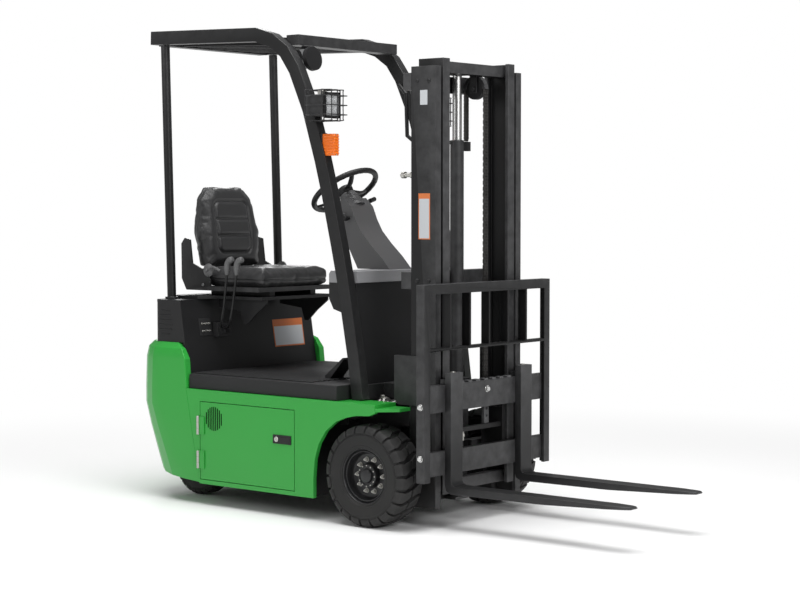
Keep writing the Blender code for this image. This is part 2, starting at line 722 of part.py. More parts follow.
def build_lamps():
    gap = 0.0006
    for word, side in SIDES:
        low, high = span(side, 0.337, 0.375)
        levels = (SIGNAL_LOW, SIGNAL_HIGH)
        rear = [(pillar_edge(z, 1) + gap, z) for z in levels]
        front = [(x + 0.048, z) for x, z in rear[::-1]]
        outline(f"{word}_turn_signal", rear + front, low, high, "Y", ORANGE)
        low, high = span(side, 0.322, 0.418)
        light = box(f"{word}_work_light", (-0.318, low, 1.692), (-0.250, high, 1.798), PLASTIC)
        low, high = span(side, 0.347, 0.367)
        levels = (1.745, 1.775)
        rear = [(pillar_edge(z, 1) + gap, z) for z in levels]
        arm = outline(f"{word}_light_arm", rear + [(-0.310, levels[1]), (-0.310, levels[0])], low, high,
            "Y")
        join(light, arm)
    mirror = rod("rear_view_mirror", (-0.452, -0.285, 1.952), (-0.432, -0.285, 1.955), 0.052, PLASTIC,
        sides=24)
    join(mirror, tube("mirror_arm", [(-0.442, -0.285, 1.990), (-0.455, -0.285, 2.002),
        (-0.500, -0.285, 2.0045)], 0.007))
    inner = GUARD_HALF_WIDTH - GUARD_TUBE_WIDTH - GAP
    low_x, high_x = pillar_edge(1.600, 0), pillar_edge(1.870, 0)
    line = [(low_x, inner, 1.600), (low_x, inner - 0.022, 1.600), (-0.390, inner - 0.036, 1.640)]
    line += [(-0.396, inner - 0.036, 1.830), (high_x, inner - 0.022, 1.870), (high_x, inner, 1.870)]
    tube("grab_handle", line, 0.010)


# ---------------------------------------------------------------- axles and wheels
def wheel_profile(radius, width, rim, bore, depth):
    """Half a wheel's section as (radius, height), from the hub cap outside to the bore inside."""
    half = width / 2
    outer = [(0.0, half * 0.42), (rim * 0.42, half * 0.42), (rim * 0.48, half * 0.26),
        (rim * 0.82, half * 0.18)]
    outer += [(rim * 0.92, half * 0.55), (rim, half * 0.82), (rim * 1.10, half * 0.87)]
    shoulder = [(radius * 0.76, half * 0.97), (radius * 0.91, half), (radius * 0.975, half * 0.85),
        (radius, half * 0.58)]
    tread = [(r, -h) for r, h in shoulder[::-1]]
    inner = [(rim * 1.10, -half * 0.87), (rim, -half * 0.82), (rim * 0.92, -half * 0.30)]
    inner += [(bore + 0.020, -half * 0.30), (bore + 0.016, -half * 0.70), (bore, -half * 0.70),
        (bore, depth), (0.0, depth)]
    return outer + shoulder + tread + inner


def build_front_wheels():
    profile = wheel_profile(TYRE_RADIUS, TYRE_WIDTH, RIM_RADIUS, AXLE_RADIUS + AXLE_CLEARANCE, -0.006)
    for word, side in SIDES:
        place = (0.0, side * WHEEL_CENTRE, TYRE_RADIUS)
        pivot = make_pivot(f"{word}_front_wheel_pivot", place, CHASSIS)
        turned(f"{word}_front_wheel", profile, place, (-side * math.pi / 2, 0.0, 0.0), TYRE, pivot)


def build_front_axle():
    """The drive axle: tube, motor, wheel spindles and the lugs that the mast turns on."""
    z = TYRE_RADIUS
    end = WHEEL_CENTRE - TYRE_WIDTH / 2 - 0.007
    axle = rod("front_axle", (0, -end, z), (0, end, z), 0.050, sides=20)
    tip = WHEEL_CENTRE - 0.006 - AXLE_CLEARANCE
    pieces = [
        rod("spindle", (0, -tip, z), (0, tip, z), AXLE_RADIUS, sides=20),
        rod("motor", (-0.030, -0.140, z), (-0.030, 0.140, z), 0.080, sides=24),
    ]
    for word, side in SIDES:
        low, high = span(side, 0.232, LUG_FACE)
        lug = [(0.0, z - 0.045), (0.0, z + 0.010), (PIVOT_X, PIVOT_Z + 0.026), (PIVOT_X + 0.024, PIVOT_Z)]
        lug += [(PIVOT_X, PIVOT_Z - 0.026)]
        pieces.append(outline(f"{word}_lug", lug, low, high, "Y"))
        start, stop = side * (LUG_FACE - 0.004), side * (MAST_HALF_WIDTH - 0.010)
        pieces.append(rod(f"{word}_pin", (PIVOT_X, start, PIVOT_Z), (PIVOT_X, stop, PIVOT_Z),
            PIVOT_RADIUS - PIN_CLEARANCE))
        low, high = span(side, BEAM_INNER, BEAM_OUTER)
        pieces.append(box(f"{word}_pad", (-0.040, low, z), (0.020, high, BEAM_BOTTOM - GAP)))
    return join(axle, *pieces)


def build_rear_axle():
    x, z = REAR_AXLE, REAR_TYRE_RADIUS
    root = KINGPIN_OFFSET - 0.034
    axle = box("rear_axle", (x - 0.018, -root, z - 0.050), (x + 0.018, root, z + 0.050))
    pieces = [box("mount", (x - 0.040, -0.058, z + 0.030), (x + 0.040, 0.058, WHEEL_BAY_TOP - GAP))]
    for word, side in SIDES:
        y = side * KINGPIN_OFFSET
        low_y, high_y = span(side, root - 0.010, KINGPIN_OFFSET + 0.020)
        for low, high in ((z - 0.049, z - 0.038), (z + 0.038, z + 0.049)):
            pieces.append(box(f"{word}_jaw", (x - 0.020, low_y, low), (x + 0.020, high_y, high)))
        pieces.append(rod(f"{word}_kingpin", (x, y, z - 0.044), (x, y, z + 0.044), KINGPIN_RADIUS))
    join(axle, *pieces)
    profile = wheel_profile(REAR_TYRE_RADIUS, REAR_TYRE_WIDTH, REAR_RIM_RADIUS,
        REAR_SPINDLE_RADIUS + AXLE_CLEARANCE, -0.002)
    for word, side in SIDES:
        y = side * KINGPIN_OFFSET
        kingpin = make_pivot(f"{word}_kingpin_pivot", (x, y, z), CHASSIS)
        knuckle = rod(f"{word}_knuckle", (x, y, z - 0.036), (x, y, z + 0.036), 0.022, BLACK, kingpin, 20)
        end = side * (REAR_WHEEL_CENTRE - 0.004)
        arm = box("arm", (x + 0.010, y - 0.007, z - 0.034), (x + 0.085, y + 0.007, z - 0.020), BLACK,
            kingpin)
        join(knuckle, rod("spindle", (x, y, z), (x, end, z), REAR_SPINDLE_RADIUS, BLACK, kingpin), arm)
        cut(knuckle, rod("bore", (x, y, z - 0.060), (x, y, z + 0.060), KINGPIN_RADIUS + PIN_CLEARANCE,
            BLACK, kingpin))
        place = (x, side * REAR_WHEEL_CENTRE, z)
        pivot = make_pivot(f"{word}_rear_wheel_pivot", place, kingpin)
        turned(f"{word}_rear_wheel", profile, place, (-side * math.pi / 2, 0.0, 0.0), TYRE, pivot, 24)


# ---------------------------------------------------------------- hood lid and seat
def build_seat():
    hinge = make_pivot("hood_hinge", (HOOD_REAR + 0.004, 0.0, LID_BOTTOM), CHASSIS)
    rear, step, front = HOOD_REAR + 0.004, HOOD_FRONT - 0.050, SEAT_FRONT
    wide, narrow = 0.320, 0.236
    plan = [(rear, -wide), (step, -wide), (step + 0.040, -narrow), (front, -narrow)]
    lid = outline("hood_lid", plan + [(x, -y) for x, y in plan[::-1]], LID_BOTTOM, LID_TOP, "Z", BLACK,
        hinge)
    pieces = []
    for side in (-1, 1):
        low, high = span(side, 0.200, 0.208)
        web = [(step + 0.022, 0.902), (step + 0.022, 0.862), (-0.950, 0.845), (-0.930, 0.788),
            (-0.908, 0.788)]
        web += [(-0.850, 0.840), (front + 0.004, 0.886), (front + 0.004, 0.902)]
        pieces.append(outline("gusset", web, low, high, "Y", BLACK, hinge))
    join(lid, *pieces)
    pan_low, pan_high = LID_TOP + 0.022, LID_TOP + 0.042
    side_y = SEAT_HALF_WIDTH + 0.006
    frame = box("seat_frame", (SEAT_REAR - 0.060, -side_y, pan_low),
        (SEAT_FRONT - 0.012, side_y, pan_high), BLACK, hinge)
    pieces = []
    for side in (-1, 1):
        low, high = span(side, 0.120, 0.155)
        pieces.append(box("rail", (SEAT_REAR + 0.010, low, LID_TOP + GAP),
            (SEAT_FRONT - 0.030, high, pan_low + LAP), BLACK, hinge))
        low, high = span(side, SEAT_HALF_WIDTH - 0.004, side_y)
        bracket = [(-1.262, 0.940), (-1.290, 0.990), (-1.292, 1.150), (-1.270, 1.176), (-1.236, 1.168),
            (-1.222, 1.060)]
        bracket += [(-1.150, 1.030), (-1.110, 0.990), (-1.100, 0.940)]
        pieces.append(outline("bracket", bracket, low, high, "Y", BLACK, hinge))
    y = SEAT_HALF_WIDTH
    pieces.append(rod("cross_tube", (-1.222, -y, CROSS_TUBE_Z), (-1.222, y, CROSS_TUBE_Z),
        CROSS_TUBE_RADIUS, BLACK, hinge))
    join(frame, *pieces)
    low, high = (SEAT_REAR + 0.028, -0.228, pan_high + GAP), (SEAT_FRONT, 0.228, 1.036)
    cushion = box("seat_cushion", low, high, VINYL, hinge)
    bevelled(cushion, 0.014)
    foot = CROSS_TUBE_Z + CROSS_TUBE_RADIUS + GAP
    rings = []
    for z, back, face, half in ((foot, -1.262, -1.178, 0.188), (1.200, -1.290, -1.192, 0.206),
        (1.360, -1.300, -1.228, 0.180), (1.424, -1.302, -1.252, 0.134)):
        rings.append([(back, -half + 0.03, z), (back + 0.03, -half, z), (face - 0.02, -half, z),
            (face, -half + 0.03, z)])
        rings[-1] += [(face, half - 0.03, z), (face - 0.02, half, z), (back + 0.03, half, z),
            (back, half - 0.03, z)]
    loft("seat_back", rings, VINYL, hinge)


# ---------------------------------------------------------------- mast
def channel(word, side, name, outer, reach, low, high, pivot):
    """A mast rail: a channel open towards the centre plane."""
    rear, front = MAST_FRONT - MAST_DEPTH, MAST_FRONT
    web, flange = outer - MAST_WEB, outer - reach
    section = [(rear, outer), (front, outer), (front, flange), (front - MAST_FLANGE, flange)]
    section += [(front - MAST_FLANGE, web), (rear + MAST_FLANGE, web), (rear + MAST_FLANGE, flange),
        (rear, flange)]
    return outline(f"{name}_{word}_rail", [(x, side * y) for x, y in section], low, high, "Z", GREY, pivot)


def roller(side, inner, outer, z, pivot):
    x = MAST_FRONT - MAST_DEPTH / 2
    radius = MAST_DEPTH / 2 - MAST_FLANGE - ROLLER_CLEARANCE
    return rod("roller", (x, side * inner, z), (x, side * outer, z), radius, STEEL, pivot, 24)


def build_outer_mast():
    web = MAST_HALF_WIDTH - MAST_WEB
    rear = MAST_FRONT - MAST_DEPTH
    for word, side in SIDES:
        rail = channel(word, side, "outer_mast", MAST_HALF_WIDTH, OUTER_FLANGE_REACH, OUTER_FOOT,
            OUTER_TOP, MAST)
        low, high = span(side, INNER_HALF_WIDTH + GAP, web + LAP)
        pad = box("pad", (0.157, low, OUTER_TOP - 0.113), (0.197, high, OUTER_TOP - 0.033), PLASTIC, MAST)
        low, high = span(side, LUG_FACE + 0.004, web - 0.001)
        lug = [(rear + 0.004, PIVOT_Z + 0.060), (PIVOT_X, PIVOT_Z + 0.028),
            (PIVOT_X - 0.020, PIVOT_Z + 0.020)]
        lug += [(PIVOT_X - 0.028, PIVOT_Z), (PIVOT_X - 0.020, PIVOT_Z - 0.020),
            (PIVOT_X, PIVOT_Z - 0.028), (rear + 0.004, PIVOT_Z - 0.040)]
        pivot_lug = outline("pivot_lug", lug, low, high, "Y", GREY, MAST)
        low, high = span(side, web, MAST_HALF_WIDTH + 0.010)
        plate = [(rear + 0.080, BRACKET_LOW), (rear + 0.080, BRACKET_HIGH),
            (TILT_EYE_X - 0.045, BRACKET_HIGH), (TILT_EYE_X - 0.045, BRACKET_LOW + 0.025),
            (TILT_EYE_X - 0.025, BRACKET_LOW)]
        bracket = outline("bracket", plate, low, high, "Y", GREY, MAST)
        start, end = side * (TILT_Y - 0.014), side * (web + 0.004)
        pin = rod("eye_pin", (TILT_EYE_X, start, TILT_EYE_Z), (TILT_EYE_X, end, TILT_EYE_Z),
            TILT_PIN_RADIUS, STEEL, MAST)
        join(rail, pad, pivot_lug, bracket, pin)
        start, end = side * (LUG_FACE - 0.050), side * (web + 0.050)
        hole = rod("pivot_hole", (PIVOT_X, start, PIVOT_Z), (PIVOT_X, end, PIVOT_Z), PIVOT_RADIUS, GREY,
            MAST, 24)
        cut(rail, hole)
    tie_front, tie_rear, tie_top = rear - GAP, 0.062, 0.314
    tie = box("outer_mast_bottom_tie", (tie_rear, -MAST_HALF_WIDTH, 0.234),
        (tie_front, MAST_HALF_WIDTH, tie_top), GREY, MAST)
    x, r = CYLINDER_X, CYLINDER_RADIUS
    pocket = box("pocket", (x - r - GAP, -0.120, 0.200), (0.200, 0.120, 0.400), GREY, MAST)
    cut(tie, pocket)
    shelf_low, shelf_high = OUTER_FOOT, CYLINDER_FOOT - GAP
    join(
        tie,
        box("tie_web", (tie_rear, -0.115, shelf_low), (x - r - 0.0008, 0.115, 0.250), GREY, MAST),
        box("tie_foot", (tie_rear, -0.045, shelf_low), (x + r, 0.045, shelf_high), GREY, MAST),
    )
    top = box("outer_mast_top_tie", (0.070, -MAST_HALF_WIDTH, OUTER_TOP - 0.095),
        (tie_front, MAST_HALF_WIDTH, OUTER_TOP - 0.025), GREY, MAST)
    box_low, box_high = (0.060, -MAST_HALF_WIDTH, 0.980), (tie_front, MAST_HALF_WIDTH, 1.050)
    middle = box("outer_mast_middle_tie", box_low, box_high, GREY, MAST)
    pocket = box("cylinder_pocket", (x - r - 0.003, -0.060, 0.90), (0.200, 0.060, 1.10), GREY, MAST)
    cut(middle, pocket)
    cut(top, box("rod_pocket", (x - LIFT_ROD_RADIUS - 0.014, -0.042, 1.7), (0.200, 0.042, 2.0), GREY, MAST))


def build_lift_cylinder():
    x = CYLINDER_X
    barrel = rod("lift_cylinder", (x, 0, CYLINDER_FOOT), (x, 0, CYLINDER_TOP), CYLINDER_RADIUS, BLACK,
        MAST, 20)
    anchor = box("chain_anchor", (SHEAVE_X - SHEAVE_RADIUS - 0.016, 0.022, CYLINDER_TOP - 0.045),
        (SHEAVE_X - SHEAVE_RADIUS + 0.004, CHAIN_Y + 0.018, CYLINDER_TOP - 0.005), BLACK, MAST)
    bore_radius = LIFT_ROD_RADIUS + PIN_CLEARANCE
    join(barrel, anchor)
    cut(barrel, rod("bore", (x, 0, CYLINDER_FOOT + 0.010), (x, 0, 1.9), bore_radius, BLACK, MAST, 20))
    rod("lift_rod", (x, 0, CYLINDER_FOOT + 0.070), (x, 0, CROSSHEAD_LOW - GAP), LIFT_ROD_RADIUS, STEEL,
        INNER, 20)


def build_inner_mast():
    web = INNER_HALF_WIDTH - MAST_WEB
    for word, side in SIDES:
        rail = channel(word, side, "inner_mast", INNER_HALF_WIDTH, INNER_FLANGE_REACH, INNER_FOOT,
            INNER_TOP, INNER)
        join(
            rail,
            roller(side, web + 0.004, INNER_HALF_WIDTH + 0.006, INNER_FOOT + 0.055, INNER),
            roller(side, INNER_HALF_WIDTH + 0.004, MAST_HALF_WIDTH - MAST_WEB - 0.003, INNER_FOOT + 0.055,
                INNER),
        )
    reach = web - GAP
    box("inner_mast_bottom_tie", (0.165, -reach, INNER_FOOT), (0.200, reach, INNER_FOOT + 0.050), GREY,
        INNER)
    head = box("inner_mast_crosshead", (0.095 + 0.055, -reach, CROSSHEAD_LOW),
        (0.205, reach, CROSSHEAD_HIGH), GREY, INNER)
    cap = box("rod_cap", (0.095, -0.035, CROSSHEAD_LOW), (0.160, 0.035, CROSSHEAD_LOW + 0.030), GREY, INNER)
    x, y, z = SHEAVE_X, CHAIN_Y, SHEAVE_Z
    pieces = [cap, rod("sheave", (x, y - 0.012, z), (x, y + 0.012, z), SHEAVE_RADIUS, BLACK, INNER, 24)]
    ring = SHEAVE_RADIUS - LAP
    outer = SHEAVE_RADIUS + CHAIN_CLEARANCE + CHAIN_THICKNESS
    turn = arc((x, z), outer, 0, 180, 10) + arc((x, z), ring, 180, 0, 10)
    low, high = y - CHAIN_WIDTH / 2, y + CHAIN_WIDTH / 2
    pieces.append(outline("chain_turn", turn, low, high, "Y", STEEL, INNER))
    pieces.append(rod("sheave_pin", (x, y - 0.026, z), (x, y + 0.026, z), 0.009, STEEL, INNER, 12))
    for offset in (-0.0185, 0.0185):
        low, high = y + offset - 0.003, y + offset + 0.003
        pieces.append(box("cheek", (x - 0.018, low, z - 0.016), (x + 0.018, high, CROSSHEAD_LOW + LAP),
            GREY, INNER))
    join(head, *pieces)


def build_chain():
    """The lift chain's front run down to the carriage, and its rear run down to the anchor."""
    inner, outer = SHEAVE_RADIUS + CHAIN_CLEARANCE, SHEAVE_RADIUS + CHAIN_CLEARANCE + CHAIN_THICKNESS
    low, high = CHAIN_Y - CHAIN_WIDTH / 2, CHAIN_Y + CHAIN_WIDTH / 2
    top, foot = SHEAVE_Z - GAP, CHAIN_LUG_TOP + GAP
    box("lift_chain", (SHEAVE_X + inner, low, foot), (SHEAVE_X + outer, high, top), STEEL, INNER)
    foot = CYLINDER_TOP - 0.0047
    box("lift_chain_tail", (SHEAVE_X - outer, low, foot), (SHEAVE_X - inner, high, top), STEEL, MAST)


def build_tilt_cylinders():
    base = Vector((TILT_REAR_X, 0.0, TILT_REAR_Z))
    eye = Vector((TILT_EYE_X, 0.0, TILT_EYE_Z))
    along = (eye - base).normalized()
    length = (eye - base).length
    for word, side in SIDES:
        shift = Vector((0.0, side * TILT_Y, 0.0))
        pivot = make_pivot(f"{word}_tilt_barrel_pivot", tuple(base + shift), CHASSIS)
        rod_pivot = make_pivot(f"{word}_tilt_rod_slide", tuple(eye + shift), pivot)
        start, end = base + shift, eye + shift
        barrel = rod(f"{word}_tilt_cylinder", start + along * 0.015, start + along * 0.215, 0.024, BLACK,
            pivot, 20)
        across = Vector((0.0, 0.013, 0.0))
        join(barrel, rod("rear_eye", start - across, start + across, 0.022, BLACK, pivot, 20))
        cut(
            barrel,
            rod("rear_hole", start - across * 3, start + across * 3, TILT_PIN_RADIUS + PIN_CLEARANCE,
                BLACK, pivot, 20),
            rod("bore", start + along * 0.055, start + along * 0.300, TILT_ROD_RADIUS + PIN_CLEARANCE,
                BLACK, pivot, 20),
        )
        piston = rod(f"{word}_tilt_rod", start + along * 0.120, start + along * (length - 0.015),
            TILT_ROD_RADIUS, STEEL, rod_pivot, 16)
        join(piston, rod("front_eye", end - across, end + across, 0.024, BLACK, rod_pivot, 20))
        cut(piston, rod("eye_hole", end - across * 3, end + across * 3, TILT_PIN_RADIUS + PIN_CLEARANCE,
            BLACK, rod_pivot, 20))


# ---------------------------------------------------------------- carriage and forks
def build_carriage():
    half = BAR_HALF_WIDTH
    carriage = box("carriage", (BAR_REAR, -half, UPPER_BAR_BOTTOM), (BAR_FRONT, half, UPPER_BAR_TOP),
        GREY, CARRIAGE)
    pieces = [box("lower_bar", (BAR_REAR, -half, LOWER_BAR_BOTTOM), (BAR_FRONT, half, LOWER_BAR_TOP),
        GREY, CARRIAGE)]
    inner, outer = 0.150, 0.168
    for side in (-1, 1):
        low, high = span(side, inner, outer)
        plate = box("roller_plate", (0.140, low, 0.258), (BAR_REAR + LAP, high, 0.464), GREY, CARRIAGE)
        upright = box("upright", (BAR_REAR - 0.003, low, 0.300),
            (BAR_REAR + LAP * 2, high, UPPER_BAR_TOP - 0.020), GREY, CARRIAGE)
        pieces += [plate, upright]
        for z in ROLLER_LEVELS:
            pieces.append(roller(side, outer - LAP, INNER_HALF_WIDTH - MAST_WEB - 0.003, z, CARRIAGE))
    shelf_low, shelf_high = (0.226, -inner - LAP, CHAIN_LUG_TOP - 0.020), (0.244, inner + LAP,
        CHAIN_LUG_TOP)
    pieces.append(box("chain_lug", shelf_low, shelf_high, GREY, CARRIAGE))
    join(carriage, *pieces)


def build_backrest():
    half, front, rear = BACKREST_HALF_WIDTH, BAR_FRONT + 0.016, BAR_REAR + 0.004
    top = box("load_backrest", (rear, -half, BACKREST_TOP - 0.040), (front, half, BACKREST_TOP), GREY,
        CARRIAGE)
    pieces = [box("crossbar", (rear, -half + 0.004, 0.735), (front, half - 0.004, 0.746), GREY, CARRIAGE)]
    for side in (-1, 1):
        low, high = span(side, half - 0.041, half)
        pieces.append(box("upright_face", (BAR_FRONT + GAP, low, 0.205),
            (front, high, BACKREST_TOP - 0.010), GREY, CARRIAGE))
        low, high = span(side, BAR_HALF_WIDTH + GAP, half)
        pieces.append(box("upright_side", (rear, low, 0.205), (front, high, BACKREST_TOP - 0.010), GREY,
            CARRIAGE))
    for y in (-0.266, -0.133, 0.0, 0.133, 0.266):
        pieces.append(box("bar", (rear, y - 0.005, 0.740), (front, y + 0.005, BACKREST_TOP - 0.020), GREY,
            CARRIAGE))
    join(top, *pieces)


def build_forks():
    heel, shank, tip = BAR_FRONT + GAP, BAR_FRONT + FORK_THICKNESS, FORK_TIP
    low = FORK_TOP - FORK_THICKNESS
    side_view = [(heel, SHANK_TOP), (heel, FORK_TOP + 0.004), (heel + 0.006, low + 0.010),
        (heel + 0.030, low)]
    side_view += [(0.750, low + 0.003), (tip - 0.010, FORK_TOP - 0.011), (tip, FORK_TOP - 0.007),
        (tip - 0.010, FORK_TOP)]
    side_view += [(shank + 0.020, FORK_TOP), (shank + 0.005, FORK_TOP + 0.006), (shank, FORK_TOP + 0.020),
        (shank, SHANK_TOP)]
    for word, side in SIDES:
        low_y, high_y = span(side, FORK_CENTRE - FORK_WIDTH / 2, FORK_CENTRE + FORK_WIDTH / 2)
        fork = outline(f"{word}_fork", side_view, low_y, high_y, "Y", GREY, CARRIAGE)
        hook_rear = BAR_REAR + 0.002
        hook = box("hook", (hook_rear, low_y + 0.004, UPPER_BAR_TOP + GAP),
            (heel + LAP, high_y - 0.004, UPPER_BAR_TOP + 0.022), GREY, CARRIAGE)
        join(fork, hook)
        for sign in (-1, 1):
            edge = side * FORK_CENTRE + sign * FORK_WIDTH / 2
            middle = side * FORK_CENTRE + sign * 0.016
            corner = [(tip - 0.110, edge + sign * 0.001), (tip - 0.030, edge - sign * 0.010),
                (tip + 0.002, middle)]
            corner += [(tip + 0.002, edge + sign * 0.010), (tip - 0.110, edge + sign * 0.010)]
            cut(fork, outline("tip_cut", corner, 0.05, 0.30, "Z", GREY, CARRIAGE))


build_frame()
for word, side in SIDES:
    build_side_panel(word, side)
    build_door(word, side)
build_counterweight()
build_battery()
build_floor()
build_hood()
build_cowl()
build_column()
build_steering_wheel()
build_levers()
build_pedals()
build_guard()
build_lamps()
build_front_axle()
build_front_wheels()
build_rear_axle()
build_seat()
build_outer_mast()
build_lift_cylinder()
build_inner_mast()
build_chain()
build_tilt_cylinders()
build_carriage()
build_backrest()
build_forks()
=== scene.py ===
import json
import math

import bmesh
import bpy
from mathutils import Matrix, Vector
from mathutils.bvhtree import BVHTree
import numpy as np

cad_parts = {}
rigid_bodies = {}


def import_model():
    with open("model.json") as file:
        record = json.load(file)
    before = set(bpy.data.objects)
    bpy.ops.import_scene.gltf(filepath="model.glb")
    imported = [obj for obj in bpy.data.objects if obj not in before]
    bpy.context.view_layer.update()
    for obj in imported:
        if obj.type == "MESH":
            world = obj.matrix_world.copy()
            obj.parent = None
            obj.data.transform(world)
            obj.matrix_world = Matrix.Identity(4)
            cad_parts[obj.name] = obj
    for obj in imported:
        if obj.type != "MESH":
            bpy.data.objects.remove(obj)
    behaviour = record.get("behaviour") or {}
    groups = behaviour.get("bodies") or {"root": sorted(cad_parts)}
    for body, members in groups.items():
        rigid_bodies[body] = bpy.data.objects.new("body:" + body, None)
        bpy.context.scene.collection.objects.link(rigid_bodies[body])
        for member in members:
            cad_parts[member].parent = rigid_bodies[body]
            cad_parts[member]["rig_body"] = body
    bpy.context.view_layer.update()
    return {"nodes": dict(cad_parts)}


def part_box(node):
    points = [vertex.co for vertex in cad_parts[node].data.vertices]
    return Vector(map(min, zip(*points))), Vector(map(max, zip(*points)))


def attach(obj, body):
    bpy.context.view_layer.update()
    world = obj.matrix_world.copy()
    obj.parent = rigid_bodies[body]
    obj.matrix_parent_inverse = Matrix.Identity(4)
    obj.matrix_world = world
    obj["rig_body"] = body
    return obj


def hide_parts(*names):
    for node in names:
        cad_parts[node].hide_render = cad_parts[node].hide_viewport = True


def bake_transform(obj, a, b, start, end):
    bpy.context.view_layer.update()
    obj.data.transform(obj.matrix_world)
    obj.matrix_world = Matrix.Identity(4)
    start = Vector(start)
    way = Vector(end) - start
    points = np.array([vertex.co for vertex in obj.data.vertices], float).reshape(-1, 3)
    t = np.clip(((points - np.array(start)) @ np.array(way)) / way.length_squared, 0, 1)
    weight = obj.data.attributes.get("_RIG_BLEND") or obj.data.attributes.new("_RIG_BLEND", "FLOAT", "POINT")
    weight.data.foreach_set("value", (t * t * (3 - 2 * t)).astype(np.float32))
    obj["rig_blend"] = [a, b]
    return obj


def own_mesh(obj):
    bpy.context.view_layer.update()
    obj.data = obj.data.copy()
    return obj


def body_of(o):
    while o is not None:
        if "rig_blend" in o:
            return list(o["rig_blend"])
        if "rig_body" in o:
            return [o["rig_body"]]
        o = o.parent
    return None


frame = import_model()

nodes = frame["nodes"]
frontAxleX = (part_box("right_front_wheel")[0].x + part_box("right_front_wheel")[1].x) / 2
print("frame loaded:", len(nodes), "nodes, front axle at x", round(frontAxleX, 3))

# camera and studio
studio = dict(
    cameraPlace=(5.0357, -6.2457, 1.3246), cameraTurn=39.1994, cameraDip=2.794, lens=83.48, sensor=36,
    floorSize=60.0, floorDrop=0.0005, floorColour=(0.90, 0.90, 0.90, 1.0), floorRoughness=0.75, floorSpecular=0.2,
    skyColour=(1.0, 1.0, 1.0, 1.0), skyStrength=0.24, backdropStrength=1.0, fadeFrom=1.3, fadeTo=4.5,
)
# name, place, target, size and power
lamps = (
    ("overheadBox", (0.4, -0.6, 5.2), (0, 0, 0.8), (4.5, 3.5), 300),
    ("frontBox", (5.5, -1.5, 3.2), (0.2, 0, 0.9), (2.6, 2.2), 110),
    ("sideBox", (-2.2, -6.0, 3.4), (-0.3, 0, 0.8), (3.0, 2.2), 62),
    ("backStrip", (-4.5, 3.5, 3.8), (0, 0, 1.2), (1.2, 3.4), 90),
)


def makeCamera(look):
    camera = bpy.data.objects.new("Camera", bpy.data.cameras.new("Camera"))
    bpy.context.scene.collection.objects.link(camera)
    camera.location = look["cameraPlace"]
    camera.rotation_euler = (math.radians(90 - look["cameraDip"]), 0, math.radians(look["cameraTurn"]))
    camera.data.lens = look["lens"]
    camera.data.sensor_width = look["sensor"]
    bpy.context.scene.camera = camera


def makeLamp(name, place, target, size, power):
    lamp = bpy.data.objects.new(name, bpy.data.lights.new(name, "AREA"))
    bpy.context.scene.collection.objects.link(lamp)
    lamp.location = place
    lamp.rotation_euler = (Vector(target) - Vector(place)).to_track_quat("-Z", "Y").to_euler()
    lamp.data.shape = "RECTANGLE"
    lamp.data.size, lamp.data.size_y = size
    lamp.data.energy = power


def addNode(tree, kind, values=None, links=None, **settings):
    # a shader node with its settings, socket values and incoming links
    node = tree.nodes.new(kind)
    for key, value in settings.items():
        setattr(node, key, value)
    for key, value in (values or {}).items():
        node.inputs[key].default_value = value
    for key, source in (links or {}).items():
        tree.links.new(source, node.inputs[key])
    return node


def paperFinish(look):
    # pale paper near the truck, glowing white further out so that no horizon shows
    paper = bpy.data.materials.new("studio paper")
    paper.use_nodes = True
    tree = paper.node_tree
    shader = tree.nodes["Principled BSDF"]
    shader.inputs["Base Color"].default_value = look["floorColour"]
    shader.inputs["Roughness"].default_value = look["floorRoughness"]
    shader.inputs["Specular IOR Level"].default_value = look["floorSpecular"]
    place = addNode(tree, "ShaderNodeNewGeometry").outputs["Position"]
    distance = addNode(tree, "ShaderNodeVectorMath", links={0: place}, operation="LENGTH")
    fade = addNode(tree, "ShaderNodeMapRange", {"From Min": look["fadeFrom"], "From Max": look["fadeTo"]},
                   {"Value": distance.outputs["Value"]}, interpolation_type="SMOOTHSTEP")
    glow = addNode(tree, "ShaderNodeEmission")
    mixer = addNode(tree, "ShaderNodeMixShader", links={"Fac": fade.outputs["Result"], 1: shader.outputs["BSDF"],
                                                        2: glow.outputs["Emission"]})
    tree.links.new(mixer.outputs["Shader"], tree.nodes["Material Output"].inputs["Surface"])
    return paper


def whiteSky(look):
    # plain white behind the truck, with softer light than it shows
    world = bpy.data.worlds.new("soft white")
    world.use_nodes = True
    tree = world.node_tree
    light = tree.nodes["Background"]
    light.inputs["Color"].default_value = look["skyColour"]
    light.inputs["Strength"].default_value = look["skyStrength"]
    backdrop = addNode(tree, "ShaderNodeBackground", {"Strength": look["backdropStrength"],
                                                      "Color": look["skyColour"]})
    seen = addNode(tree, "ShaderNodeLightPath").outputs["Is Camera Ray"]
    mixer = addNode(tree, "ShaderNodeMixShader", links={"Fac": seen, 1: light.outputs["Background"],
                                                        2: backdrop.outputs["Background"]})
    tree.links.new(mixer.outputs["Shader"], tree.nodes["World Output"].inputs["Surface"])
    return world


def makeStudio(look):
    bpy.ops.mesh.primitive_plane_add(size=look["floorSize"], location=(0, 0, -look["floorDrop"]))
    floor = bpy.context.object
    floor.name = "studio_floor"
    floor.data.materials.append(paperFinish(look))
    bpy.context.scene.world = whiteSky(look)
    bpy.context.scene.view_settings.view_transform = "Standard"
    for lamp in lamps:
        makeLamp(*lamp)


makeCamera(studio)
makeStudio(studio)
print("camera and studio in place")

